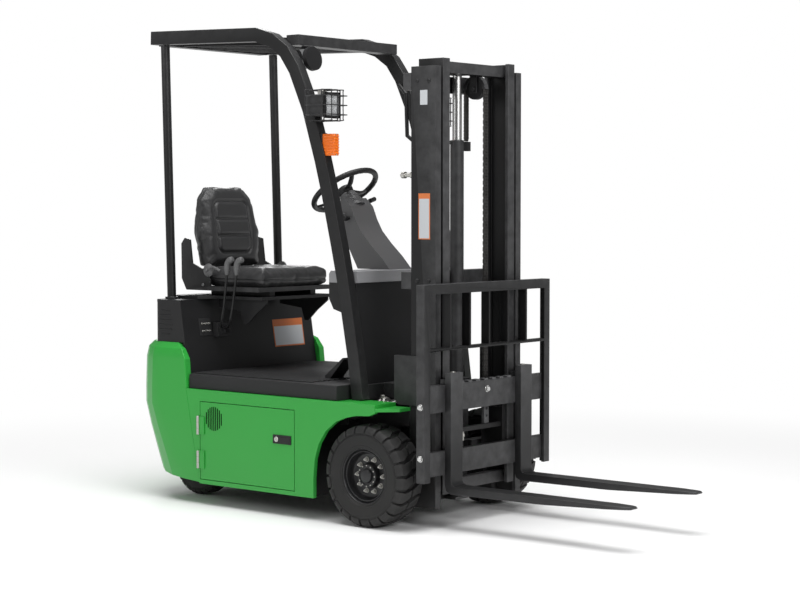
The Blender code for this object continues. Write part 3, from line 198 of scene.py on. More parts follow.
# finishes: what a recipe leaves out comes from here
plainCoat = dict(
    cloudScale=3.0, cloudDetail=5.0, variation=0.10, roughSpread=0.08, smearScale=7.0, smearDetail=6.0,
    smearRoughness=0.6, metallic=0.0, specular=0.5, coat=0.0, coatRoughness=0.12, sheen=0.0, glow=0,
    bump=0.12, bumpDepth=0.0006, grain="paint", grainScale=180.0, stretch=None,
    dust=0, dustTop=0.5, dustScale=9.0, dustColour=(0.30, 0.28, 0.25),
    wear=0, wearFrom=0.53, wearTo=0.62, wearScale=22.0, wearColour=(0.35, 0.35, 0.36),
)


def coloured(colour, amount=1):
    return (*(channel * amount for channel in colour), 1.0)


def ranged(tree, source, limits):
    return addNode(tree, "ShaderNodeMapRange", limits, {"Value": source}).outputs["Result"]


def combined(tree, operation, first, second):
    return addNode(tree, "ShaderNodeMath", links={0: first, 1: second}, operation=operation).outputs["Value"]


def blended(tree, factor, first, second):
    mixer = addNode(tree, "ShaderNodeMix", links={"Factor": factor}, data_type="RGBA")
    for value, socket in ((first, mixer.inputs["A"]), (second, mixer.inputs["B"])):
        if isinstance(value, (tuple, list)):
            socket.default_value = value
        else:
            tree.links.new(value, socket)
    return mixer.outputs["Result"]


def noiseOf(tree, place, scale, detail=4.0, roughness=0.55, stretch=None):
    if stretch:
        mapping = addNode(tree, "ShaderNodeMapping", {"Scale": stretch}, {"Vector": place})
        place = mapping.outputs["Vector"]
    values = {"Scale": scale, "Detail": detail, "Roughness": roughness}
    return addNode(tree, "ShaderNodeTexNoise", values, {"Vector": place}).outputs["Fac"]


def bumpHeight(tree, place, coat):
    kind, scale = coat["grain"], coat["grainScale"]
    if kind == "leather":
        cells = addNode(tree, "ShaderNodeTexVoronoi", {"Scale": scale}, {"Vector": place}, feature="DISTANCE_TO_EDGE")
        return combined(tree, "ADD", cells.outputs["Distance"], noiseOf(tree, place, scale * 0.35, 5.0))
    if kind == "brushed":
        return noiseOf(tree, place, scale, 3.0, 0.5, coat["stretch"])
    if kind == "cast":
        return combined(tree, "ADD", noiseOf(tree, place, scale * 0.25, 6.0, 0.65), noiseOf(tree, place, scale, 3.0))
    return noiseOf(tree, place, scale, 3.0)


def makeFinish(name, recipe):
    coat = {**plainCoat, **recipe}
    material = bpy.data.materials.new(name)
    material.use_nodes = True
    tree = material.node_tree
    shader = tree.nodes["Principled BSDF"]
    place = addNode(tree, "ShaderNodeTexCoord").outputs["Object"]
    cloud = ranged(tree, noiseOf(tree, place, coat["cloudScale"], coat["cloudDetail"]), {"To Min": 0.0, "To Max": 1.0})
    tones = [coloured(coat["colour"], 1 + sign * coat["variation"]) for sign in (-1, 1)]
    colour = blended(tree, cloud, *tones)
    if coat["dust"]:
        # dust gathers low down and fades out with height
        split = addNode(tree, "ShaderNodeSeparateXYZ",
                        links={"Vector": addNode(tree, "ShaderNodeNewGeometry").outputs["Position"]})
        low = ranged(tree, split.outputs["Z"], {"From Max": coat["dustTop"], "To Min": coat["dust"], "To Max": 0.0})
        mask = combined(tree, "MULTIPLY", low, noiseOf(tree, place, coat["dustScale"], 6.0))
        colour = blended(tree, mask, colour, coloured(coat["dustColour"]))
    if coat["wear"]:
        # edges rub through to a paler tone
        edge = ranged(tree, addNode(tree, "ShaderNodeNewGeometry").outputs["Pointiness"],
                      {"From Min": coat["wearFrom"], "From Max": coat["wearTo"], "To Max": coat["wear"]})
        mask = combined(tree, "MULTIPLY", edge, noiseOf(tree, place, coat["wearScale"], 6.0))
        colour = blended(tree, mask, colour, coloured(coat["wearColour"]))
    tree.links.new(colour, shader.inputs["Base Color"])
    smear = noiseOf(tree, place, coat["smearScale"], coat["smearDetail"], coat["smearRoughness"], coat["stretch"])
    rough, spread = coat["roughness"], coat["roughSpread"]
    tree.links.new(ranged(tree, smear, {"To Min": rough - spread, "To Max": rough + spread}),
                   shader.inputs["Roughness"])
    for socket, key in (("Metallic", "metallic"), ("Specular IOR Level", "specular"), ("Coat Weight", "coat"),
                        ("Coat Roughness", "coatRoughness"), ("Sheen Weight", "sheen")):
        shader.inputs[socket].default_value = coat[key]
    if coat["glow"]:
        shader.inputs["Emission Color"].default_value = coloured(coat["colour"])
        shader.inputs["Emission Strength"].default_value = coat["glow"]
    bump = addNode(tree, "ShaderNodeBump", {"Strength": coat["bump"], "Distance": coat["bumpDepth"]},
                   {"Height": bumpHeight(tree, place, coat)})
    tree.links.new(bump.outputs["Normal"], shader.inputs["Normal"])
    return material


finishes = {
    "greenPaint": dict(colour=(0.028, 0.350, 0.046), roughness=0.36, variation=0.04, cloudScale=1.6,
                       coat=0.12, specular=0.35, grainScale=240.0, bump=0.05, dust=0.04),
    "blackPaint": dict(colour=(0.0050, 0.0050, 0.0053), roughness=0.42, specular=0.36, variation=0.14,
                       grainScale=320.0, bump=0.10, wear=0.30, dust=0.04),
    "mastPaint": dict(colour=(0.0065, 0.0065, 0.0069), roughness=0.44, specular=0.32, variation=0.12,
                      grainScale=260.0, bump=0.12, wear=0.5, stretch=(4, 4, 0.6), dust=0.05),
    "forkSteel": dict(colour=(0.015, 0.015, 0.0156), roughness=0.44, metallic=0.25, variation=0.22,
                      grain="cast", grainScale=160.0, bump=0.18, wear=0.8),
    "blackPlastic": dict(colour=(0.0095, 0.0095, 0.0102), roughness=0.50, specular=0.36, variation=0.08,
                         grain="leather", grainScale=620.0, bump=0.10, bumpDepth=0.0003, dust=0.06),
    "greyPlastic": dict(colour=(0.25, 0.25, 0.26), roughness=0.48, variation=0.06, grain="leather",
                        grainScale=700.0, bump=0.07, bumpDepth=0.0002),
    "matRubber": dict(colour=(0.020, 0.020, 0.021), roughness=0.66, specular=0.34, variation=0.16, grain="cast",
                      grainScale=320.0, bump=0.20, dust=0.04),
    "tyreRubber": dict(colour=(0.0085, 0.0085, 0.0089), roughness=0.62, specular=0.38, variation=0.22, grain="cast",
                       grainScale=300.0, bump=0.22, wear=0.35, wearColour=(0.11, 0.11, 0.11), dust=0.08),
    # painted shade: near-black, matt and barely reflecting, standing for the shade inside the vent's openings
    "paintedSlotShade": dict(colour=(0.003, 0.006, 0.003), roughness=0.85, variation=0.2, specular=0.1, bump=0.02),
    "rimPaint": dict(colour=(0.010, 0.010, 0.011), roughness=0.36, variation=0.15, grainScale=300.0,
                     bump=0.08, wear=0.5),
    "seatVinyl": dict(colour=(0.014, 0.014, 0.015), roughness=0.44, variation=0.10, grain="leather",
                      grainScale=420.0, bump=0.22, bumpDepth=0.0005, sheen=0.10, specular=0.6),
    "brightSteel": dict(colour=(0.62, 0.62, 0.61), roughness=0.26, metallic=1.0, variation=0.08,
                        grain="brushed", grainScale=300.0, bump=0.10, stretch=(1, 1, 0.05)),
    "zincSteel": dict(colour=(0.52, 0.51, 0.48), roughness=0.38, metallic=0.9, variation=0.16,
                      grain="cast", grainScale=420.0, bump=0.10),
    "oiledChain": dict(colour=(0.040, 0.038, 0.036), roughness=0.34, metallic=0.6, variation=0.3,
                       grain="cast", grainScale=500.0, bump=0.15, wear=0.35, wearColour=(0.3, 0.29, 0.28)),
    "hoseRubber": dict(colour=(0.010, 0.010, 0.010), roughness=0.52, variation=0.15, grain="cast",
                       grainScale=520.0, bump=0.15),
    "signalLens": dict(colour=(0.80, 0.16, 0.010), roughness=0.16, variation=0.08, grainScale=90.0,
                       bump=0.25, coat=0.6, glow=0.10),
    "labelWhite": dict(colour=(0.52, 0.54, 0.56), roughness=0.38, variation=0.05, grainScale=400.0, bump=0.03),
    "labelOrange": dict(colour=(0.62, 0.17, 0.045), roughness=0.38, variation=0.06, grainScale=400.0, bump=0.03),
    "lampGlass": dict(colour=(0.46, 0.47, 0.48), roughness=0.10, variation=0.10, grainScale=70.0,
                      bump=0.30, coat=0.8),
    "mirrorGlass": dict(colour=(0.80, 0.81, 0.82), roughness=0.04, roughSpread=0.02, metallic=1.0,
                        variation=0.03, grainScale=30.0, bump=0.02),
    "coverPlastic": dict(colour=(0.075, 0.075, 0.077), roughness=0.46, variation=0.07, grain="leather",
                         grainScale=600.0, bump=0.08, bumpDepth=0.0003),
    "leverGrey": dict(colour=(0.11, 0.11, 0.112), roughness=0.50, variation=0.06, grain="leather",
                      grainScale=500.0, bump=0.10, bumpDepth=0.0003),
}
coats = {name: makeFinish(name, recipe) for name, recipe in finishes.items()}
print("finishes made:", len(coats))

# making pieces: angles in degrees, everything else in metres
meshLook = dict(smoothAngle=34, weld=0.00003, cadWeld=0.00002, pointRadius=0.00001, lightWeight=80)
hexLook = dict(washerReach=1.22, washerShare=0.18, washerSides=20, chamferFrom=0.84, chamferReach=0.80)
sides = (("right", -1), ("left", 1))


def settle(piece, finish, body, *stoodFor):
    piece.data.materials.clear()
    piece.data.materials.append(coats[finish])
    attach(piece, body)
    if stoodFor:
        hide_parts(*stoodFor)
    return piece


def pieceFrom(name, mesh):
    data = bpy.data.meshes.new(name)
    mesh.to_mesh(data)
    mesh.free()
    piece = bpy.data.objects.new(name, data)
    bpy.context.scene.collection.objects.link(piece)
    return piece


def smoothEdges(mesh, angle):
    # faces shade smoothly, except across edges sharper than the angle
    for face in mesh.faces:
        face.smooth = True
    limit = math.radians(angle)
    for edge in mesh.edges:
        edge.smooth = len(edge.link_faces) == 2 and edge.calc_face_angle(0) < limit


def cleaned(mesh, angle=meshLook["smoothAngle"]):
    bmesh.ops.remove_doubles(mesh, verts=mesh.verts, dist=meshLook["weld"])
    bmesh.ops.recalc_face_normals(mesh, faces=mesh.faces)
    smoothEdges(mesh, angle)
    return mesh


def roundEdges(piece, width, steps=2, angle=meshLook["smoothAngle"]):
    rounding = piece.modifiers.new("rounding", "BEVEL")
    rounding.width = width
    rounding.segments = steps
    rounding.limit_method = "ANGLE"
    rounding.angle_limit = math.radians(angle)
    rounding.miter_outer = "MITER_ARC"
    evenLight = piece.modifiers.new("even light", "WEIGHTED_NORMAL")
    evenLight.keep_sharp = True
    evenLight.weight = meshLook["lightWeight"]


def bodyOf(node):
    return body_of(nodes[node])[0]


def fromCad(node):
    mesh = bmesh.new()
    mesh.from_mesh(nodes[node].data)
    bmesh.ops.remove_doubles(mesh, verts=mesh.verts, dist=meshLook["cadWeld"])
    return mesh


def refined(node, finish, rounding=0.0025, steps=2, angle=meshLook["smoothAngle"]):
    # the CAD solid's own shape, cleaned, with worked edges
    mesh = fromCad(node)
    bmesh.ops.join_triangles(mesh, faces=mesh.faces, angle_face_threshold=0.01, angle_shape_threshold=0.7)
    smoothEdges(mesh, angle)
    piece = pieceFrom(node + "_made", mesh)
    if rounding:
        roundEdges(piece, rounding, steps, angle)
    return settle(piece, finish, bodyOf(node), node)


def finished(name, mesh, finish, body, *stoodFor, angle=meshLook["smoothAngle"], edges=None):
    # a cleaned piece on its body; edges holds the rounding's width, steps and angle
    piece = pieceFrom(name, cleaned(mesh, angle))
    if edges:
        roundEdges(piece, *edges)
    return settle(piece, finish, body, *stoodFor)


def truck(x, y, z):
    # a place measured from the front axle
    return Vector((x + frontAxleX, y, z))


def trucks(*points):
    return [truck(*point) for point in points]


def ringOf(mesh, centre, along, radius, count, cross):
    # one ring of points round an axis
    side = along.cross(cross)
    points = []
    for step in range(count):
        angle = 2 * math.pi * step / count
        points.append(mesh.verts.new(centre + radius * (cross * math.cos(angle) + side * math.sin(angle))))
    return points


def bridge(mesh, rings, loop=False):
    # faces between each ring and the next
    for near, far in list(zip(rings, rings[1:])) + ([(rings[-1], rings[0])] if loop else []):
        for step, point in enumerate(near):
            after = (step + 1) % len(near)
            mesh.faces.new((point, near[after], far[after], far[step]))


def bridgeCapped(mesh, rings):
    bridge(mesh, rings)
    mesh.faces.new(list(reversed(rings[0])))
    mesh.faces.new(rings[-1])


def turnedInto(mesh, centre, along, outline, count=32):
    # turns a closed outline of (place along the axis, radius) into a ring
    axis = Vector(along).normalized()
    cross = Vector((0, 0, 1)) if abs(axis.z) < 0.9 else Vector((1, 0, 0))
    cross = (cross - axis * cross.dot(axis)).normalized()
    bridge(mesh, [ringOf(mesh, Vector(centre) + axis * at, axis, max(radius, meshLook["pointRadius"]), count, cross)
                  for at, radius in outline], loop=True)


def cappedInto(mesh, centre, along, outline, count=32):
    # a solid of revolution: the outline is closed down to the axis at both ends
    ends = [] if outline[-1][1] == 0 else [(outline[-1][0], 0)]
    turnedInto(mesh, centre, along, outline + ends + [(outline[0][0], 0)], count)


def boxInto(mesh, first, second, turn=None):
    low = Vector([min(a, b) for a, b in zip(first, second)])
    high = Vector([max(a, b) for a, b in zip(first, second)])
    place = Matrix.Translation((low + high) / 2) @ (turn or Matrix.Identity(4))
    bmesh.ops.create_cube(mesh, size=1, matrix=place @ Matrix.Diagonal((*(high - low), 1)))


def hexInto(mesh, centre, along, across, height, washer=True):
    # a hexagon head on its washer, with a chamfered end
    half = across / 2 / math.cos(math.pi / 6)
    foot = height * hexLook["washerShare"]
    if washer:
        flange = half * hexLook["washerReach"]
        cappedInto(mesh, centre, along, [(0, flange), (foot, flange)], hexLook["washerSides"])
    cappedInto(mesh, centre, along, [(foot, half), (height * hexLook["chamferFrom"], half),
                                     (height, half * hexLook["chamferReach"])], 6)


def smoothPath(points, rounds):
    # Catmull-Rom through the points
    if rounds < 2 or len(points) < 3:
        return points
    padded = [points[0] * 2 - points[1]] + points + [points[-1] * 2 - points[-2]]
    path = []
    for a, b, c, d in zip(padded, padded[1:], padded[2:], padded[3:]):
        for step in range(rounds):
            t = step / rounds
            path.append(0.5 * (2 * b + (c - a) * t + (2 * a - 5 * b + 4 * c - d) * t * t
                               + (3 * b - a - 3 * c + d) * t ** 3))
    return path + [points[-1]]


def sweptRings(mesh, path, radii, count, cross):
    # rings along a path, each turned as little as the path allows
    rings = []
    for index, (point, radius) in enumerate(zip(path, radii)):
        along = (path[min(index + 1, len(path) - 1)] - path[max(index - 1, 0)]).normalized()
        cross = (cross - along * cross.dot(along)).normalized()
        rings.append(ringOf(mesh, point, along, radius, count, cross))
    return rings


def tubeInto(mesh, points, radius, count=10, rounds=6):
    # a round bar along a smooth path through the points
    path = smoothPath([Vector(point) for point in points], rounds)
    steep = abs((path[1] - path[0]).normalized().z) > 0.9
    cross = Vector((1, 0, 0)) if steep else Vector((0, 0, 1))
    bridgeCapped(mesh, sweptRings(mesh, path, [radius] * len(path), count, cross))


# tyres: a carcass with rings on its walls, and two rows of staggered lugs
frontTyre = dict(radius=0.2125, halfWidth=0.0775, bead=0.113, lugs=22, lugDepth=0.0135, wallReach=0.178)
rearTyre = dict(radius=0.150, halfWidth=0.050, bead=0.078, lugs=24, lugDepth=0.008, wallReach=0.128)
tyreShape = dict(
    # share of the half width, share of the rise from bead to tread, and what is added to the radius
    wall=((0.72, 0, 0), (0.86, 0, 0.003), (0.90, 0.10, 0), (0.93, 0.12, 0), (0.945, 0.16, 0), (0.93, 0.19, 0),
          (0.965, 0.40, 0), (0.975, 0.58, 0), (0.985, 0.60, 0), (0.985, 0.65, 0), (0.965, 0.67, 0),
          (0.90, 0.86, 0), (0.78, 1, -0.002), (0.40, 1, 0), (0, 1, 0)),
    # share of the half width, drop of the top and of the foot, width and skew as shares of the pitch
    treadRows=((0.05, 0, 0.002, 0.50, 0.26), (0.30, 0.0003, 0.002, 0.62, 0.10), (0.56, 0.0014, 0.003, 0.74, -0.04),
               (0.80, 0.0050, 0.008, 0.80, 0), (0.935, 0.0150, 0.020, 0.80, 0)),
    wallRows=((0.998, -0.006, -0.002, 0.76, 0), (0.965, 0, 0.002, 0.72, 0)),
    steps=3, footSpread=1.10, footWidest=0.88, footInset=0.90, stagger=0.25, around=96,
    innerShare=0.5, innerDrop=0.004, edges=(0.0014, 1, 40),
)


def lugInto(mesh, look, shape, centre, side, angle):
    base, reach = look["radius"] - look["lugDepth"], look["wallReach"]
    pitch, steps = 2 * math.pi / look["lugs"], shape["steps"]
    rows = [(across, look["radius"] - top, base - foot, width, skew) for across, top, foot, width, skew
            in shape["treadRows"]]
    rows += [(across, reach - top, reach - foot, width, skew) for across, top, foot, width, skew in shape["wallRows"]]
    tops, feet = [], []
    for across, top, foot, width, skew in rows:
        footWidth = min(width * shape["footSpread"], shape["footWidest"])
        footAcross = min(across, shape["footInset"])
        for sheet, radius, wide, out in ((tops, top, width, across), (feet, foot, footWidth, footAcross)):
            turns = [angle + pitch * ((step / steps - 0.5) * wide + skew * side) for step in range(steps + 1)]
            y = side * out * look["halfWidth"]
            sheet.append([mesh.verts.new(centre + Vector((radius * math.sin(turn), y, radius * math.cos(turn))))
                          for turn in turns])
    strips = [pair for sheet in (tops, feet) for pair in zip(sheet, sheet[1:])]
    strips += [(tops[0], feet[0]), (tops[-1], feet[-1])]
    for near, far in strips:
        for step in range(steps):
            mesh.faces.new((near[step], near[step + 1], far[step + 1], far[step]))
    for end in (0, steps):
        for top, after, foot, below in zip(tops, tops[1:], feet, feet[1:]):
            mesh.faces.new((top[end], after[end], below[end], foot[end]))


def makeTyre(node, look, shape):
    low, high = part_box(node)
    centre = (low + high) / 2
    half, bead = look["halfWidth"], look["bead"]
    rise = look["radius"] - look["lugDepth"] - bead
    wall = [(half * across, bead + rise * up + extra) for across, up, extra in shape["wall"]]
    outline = wall + [(-y, radius) for y, radius in reversed(wall[:-1])]
    inner = bead - shape["innerDrop"]
    outline += [(-half * shape["innerShare"], inner), (half * shape["innerShare"], inner)]
    mesh = bmesh.new()
    turnedInto(mesh, centre, (0, 1, 0), outline, shape["around"])
    for index in range(look["lugs"]):
        for side in (-1, 1):
            angle = 2 * math.pi * (index + shape["stagger"] * side) / look["lugs"]
            lugInto(mesh, look, shape, centre, side, angle)
    finished(node.replace("wheel", "tyre"), mesh, "tyreRubber", bodyOf(node), node, angle=30, edges=shape["edges"])


# rims: a dished disc with a lip, a lock ring, a ring of nuts and a bolted hub
frontRim = dict(
    outline=[(0.0600, 0.1185), (0.0635, 0.1165), (0.0640, 0.1130), (0.0600, 0.1100), (0.0520, 0.1085),
             (0.0500, 0.1060), (0.0545, 0.1040), (0.0550, 0.1010), (0.0500, 0.0990), (0.0400, 0.0975),
             (0.0290, 0.0960), (0.0215, 0.0900), (0.0195, 0.0820), (0.0195, 0.0540), (0.0230, 0.0520),
             (0.0300, 0.0500), (0.0440, 0.0480), (0.0465, 0.0450), (0.0465, 0.0400), (0.0430, 0.0385),
             (0.0430, 0.0310), (0.0520, 0.0295), (0.0560, 0.0260), (0.0575, 0.0190), (0.0580, 0.0)],
    back=[(0.0, 0.0), (0.0, 0.0335), (-0.0550, 0.0335), (-0.0550, 0.0520), (0.0050, 0.0560), (0.0080, 0.0880),
          (-0.0500, 0.1000), (-0.0600, 0.1080), (-0.0630, 0.1170), (-0.0600, 0.1190)],
    nuts=10, nutCircle=0.0680, nutFace=0.0190, nutSize=0.0150, nutHeight=0.0130, stud=0.0042, studTip=0.0032,
    hubBolts=12, hubCircle=0.0425, hubFace=0.0462, hubBoltSize=0.0055, hubBoltHeight=0.0030)
rearRim = dict(
    frontRim,
    outline=[(0.0380, 0.0820), (0.0410, 0.0800), (0.0400, 0.0770), (0.0330, 0.0745), (0.0200, 0.0720),
             (0.0140, 0.0660), (0.0140, 0.0400), (0.0260, 0.0370), (0.0300, 0.0320), (0.0300, 0.0)],
    back=[(-0.0150, 0.0), (-0.0150, 0.0180), (-0.0380, 0.0180), (-0.0380, 0.0330), (0.0, 0.0380), (0.0, 0.0640),
          (-0.0330, 0.0720), (-0.0400, 0.0800), (-0.0380, 0.0820)],
    nuts=5, nutCircle=0.0520, nutFace=0.0136, nutSize=0.0140, nutHeight=0.0110, hubBolts=0)


def circleOf(count, radius, shift=0):
    angles = [2 * math.pi * (index + shift) / count for index in range(count)]
    return [Vector((math.sin(angle), 0, math.cos(angle))) * radius for angle in angles]


def makeRim(node, look, side):
    low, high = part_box(node)
    centre, along = (low + high) / 2, Vector((0, side, 0))
    mesh = bmesh.new()
    turnedInto(mesh, centre, along, look["outline"] + look["back"], 64)
    finished(node.replace("wheel", "rim"), mesh, "rimPaint", bodyOf(node), node, angle=32, edges=(0.0008, 1, 32))
    mesh = bmesh.new()
    tall = look["nutHeight"]
    for spot in circleOf(look["nuts"], look["nutCircle"], 0.5):
        foot = centre + spot + along * look["nutFace"]
        hexInto(mesh, foot, along, look["nutSize"], tall)
        cappedInto(mesh, foot, along, [(0, look["stud"]), (tall * 1.45, look["stud"]), (tall * 1.55, look["studTip"])], 12)
    for spot in circleOf(look["hubBolts"], look["hubCircle"]):
        foot = centre + spot + along * look["hubFace"]
        hexInto(mesh, foot, along, look["hubBoltSize"], look["hubBoltHeight"], False)
    finished(node.replace("wheel", "nuts"), mesh, "zincSteel", bodyOf(node), angle=20, edges=(0.0005, 1, 20))


for sideName, side in sides:
    makeTyre(sideName + "_front_wheel", frontTyre, tyreShape)
    makeRim(sideName + "_front_wheel", frontRim, side)
    makeTyre(sideName + "_rear_wheel", rearTyre, tyreShape)
    makeRim(sideName + "_rear_wheel", rearRim, side)
print("wheels made")

# seat: padded cushions, inflated as cloth, then drawn in along their seams
cushionLook = dict(voxel=0.007, shrink=0.006, pressure=4.0, cap=0.012, frames=14, quality=3, mass=0.3, stiffness=12,
                   bending=0.6, smoothing=0.5, smoothRounds=6)
backSeams = dict(panelHalf=0.108, panelLow=1.105, panelHigh=1.345, bars=(1.185, 1.262), depth=0.009, width=0.0085,
                 puff=0.35, puffPitch=0.080, puffDepth=0.006, pipingInset=0.045, pipingWidth=0.006,
                 pipingDepth=0.0035, pipingSide=0.14, pipingTop=1.38)
seatSeams = dict(panelHalf=0.125, front=-0.842, rear=-1.085, bars=(-0.925, -1.005), depth=0.008, width=0.0085,
                 crown=0.004, crownSlope=20, weltRise=0.030, weltWidth=0.0045, weltDepth=0.004)
reclinerLook = dict(hub=(-1.115, 0.243, 1.030), bolt=(-1.150, 0.243, 0.962), boltSize=0.014, boltHeight=0.007,
                    boltOut=0.012, disc=[(0, 0.030), (0.006, 0.030), (0.010, 0.024), (0.013, 0.012)],
                    handle=((-1.115, -0.252, 1.030), (-1.075, -0.256, 1.045), (-1.030, -0.256, 1.028)), rod=0.006)


def applied(piece):
    graph = bpy.context.evaluated_depsgraph_get()
    data = bpy.data.meshes.new_from_object(piece.evaluated_get(graph))
    piece.modifiers.clear()
    piece.data = data
    return piece


def softSolid(node, look):
    mesh = fromCad(node)
    low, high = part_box(node)
    middle = (low + high) / 2
    for vert in mesh.verts:
        away = vert.co - middle
        for axis in range(3):
            half = (high[axis] - low[axis]) / 2
            vert.co[axis] = middle[axis] + away[axis] * (half - look["shrink"]) / half
    piece = pieceFrom(node + "_pad", mesh)
    remesh = piece.modifiers.new("even skin", "REMESH")
    remesh.mode = "VOXEL"
    remesh.voxel_size = look["voxel"]
    return applied(piece)


def inflate(piece, look):
    # the skin swells under a little pressure, and no point moves further than the cap
    before = [vert.co.copy() for vert in piece.data.vertices]
    cloth = piece.modifiers.new("air", "CLOTH")
    cloth.settings.quality = look["quality"]
    cloth.settings.mass = look["mass"]
    cloth.settings.tension_stiffness = look["stiffness"]
    cloth.settings.compression_stiffness = look["stiffness"]
    cloth.settings.bending_stiffness = look["bending"]
    cloth.settings.use_pressure = True
    cloth.settings.uniform_pressure_force = look["pressure"]
    cloth.settings.effector_weights.gravity = 0
    scene = bpy.context.scene
    for step in range(1, look["frames"] + 1):
        scene.frame_set(step)
    applied(piece)
    scene.frame_set(1)
    for vert, start in zip(piece.data.vertices, before):
        moved = vert.co - start
        if moved.length > look["cap"]:
            vert.co = start + moved.normalized() * look["cap"]
    smoothing = piece.modifiers.new("even out", "SMOOTH")
    smoothing.factor = look["smoothing"]
    smoothing.iterations = look["smoothRounds"]
    finer = piece.modifiers.new("finer", "SUBSURF")
    finer.levels = 1
    finer.render_levels = 1
    return applied(piece)


def groove(distance, width):
    return math.exp(-(distance / width) ** 2)


def panelEdge(across, up, half, low, high, corner=0.035):
    # signed distance to a rounded rectangle
    middle, tall = (low + high) / 2, (high - low) / 2
    x, z = abs(across) - half + corner, abs(up - middle) - tall + corner
    return math.hypot(max(x, 0), max(z, 0)) + min(max(x, z), 0) - corner


def sewBack(piece, look, pipingX):
    normals = [vert.normal.copy() for vert in piece.data.vertices]
    for vert, normal in zip(piece.data.vertices, normals):
        x, y, z = vert.co
        facing = max(0.0, normal.x)
        edge = panelEdge(y, z, look["panelHalf"], look["panelLow"], look["panelHigh"])
        sunk = groove(edge, look["width"])
        if edge < 0:
            sunk = max([sunk] + [groove(z - bar, look["width"]) for bar in look["bars"]])
            puff = look["puff"] * abs(math.sin(math.pi * (z - look["panelLow"]) / look["puffPitch"]))
            vert.co.x += look["puffDepth"] * puff * facing
        rim = abs(y) > look["pipingSide"] or z > look["pipingTop"]
        piping = groove(x - pipingX, look["pipingWidth"]) if rim else 0
        vert.co.x -= look["depth"] * sunk * facing
        vert.co -= normal * look["pipingDepth"] * piping


def sewCushion(piece, look, weltZ):
    normals = [vert.normal.copy() for vert in piece.data.vertices]
    for vert, normal in zip(piece.data.vertices, normals):
        x, y, z = vert.co
        facing = max(0.0, normal.z)
        edge = panelEdge(y, x, look["panelHalf"], look["rear"] + frontAxleX, look["front"] + frontAxleX)
        sunk = groove(edge, look["width"])
        if edge < 0:
            sunk = max([sunk] + [groove(x - bar - frontAxleX, look["width"]) for bar in look["bars"]])
        crown = look["crown"] * min(1.0, max(0.0, edge * look["crownSlope"]))
        vert.co.z += (crown - look["depth"] * sunk) * facing
        welt = groove(z - weltZ, look["weltWidth"]) * (1 - facing)
        vert.co -= normal * look["weltDepth"] * welt


def makeSeat():
    back = inflate(softSolid("seat_back", cushionLook), cushionLook)
    sewBack(back, backSeams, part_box("seat_back")[0].x + backSeams["pipingInset"])
    cushion = inflate(softSolid("seat_cushion", cushionLook), cushionLook)
    sewCushion(cushion, seatSeams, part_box("seat_cushion")[0].z + seatSeams["weltRise"])
    for piece, node in ((back, "seat_back"), (cushion, "seat_cushion")):
        for face in piece.data.polygons:
            face.use_smooth = True
        settle(piece, "seatVinyl", bodyOf(node), node)


def makeRecliner(look):
    # hubs at both hips, and the release handle on the right
    mesh = bmesh.new()
    for side in (-1, 1):
        hub, bolt = [truck(x, side * y, z) for x, y, z in (look["hub"], look["bolt"])]
        out = Vector((0, side, 0))
        cappedInto(mesh, hub, out, look["disc"], 24)
        for place in (hub + out * look["boltOut"], bolt):
            hexInto(mesh, place, out, look["boltSize"], look["boltHeight"])
    tubeInto(mesh, trucks(*look["handle"]), look["rod"])
    finished("seat_recliner", mesh, "leverGrey", bodyOf("seat_frame"))


makeSeat()
makeRecliner(reclinerLook)
print("seat made")

# steering wheel
wheelLook = dict(
    hub=(-0.505, 0, 1.392), lean=35, tube=0.0125, grips=30, swell=0.035, around=120, sides=16,
    spokes=(90, 210, 330), spokeShares=(0, 0.25, 0.5, 0.75, 1.0), spokeSides=12, spokeStart=0.020, spokeDrop=0.004,
    spokeWide=0.017, spokeTaper=0.006, spokeThick=0.0055, spokeSag=0.012,
    hubDrop=0.0235, hubOutline=[(0, 0.030), (0.004, 0.034), (0.020, 0.036), (0.028, 0.036), (0.034, 0.032),
                                (0.037, 0.024), (0.038, 0.0)],
    buttonRise=0.0142, buttonOutline=[(0, 0.022), (0.0015, 0.021), (0.002, 0.0)],
    knobAngle=150, knobRise=0.7, knobOutline=[(0, 0.009), (0.008, 0.007), (0.014, 0.012), (0.022, 0.0185),
                                              (0.032, 0.0195), (0.040, 0.015), (0.043, 0.006), (0.0435, 0)],
)


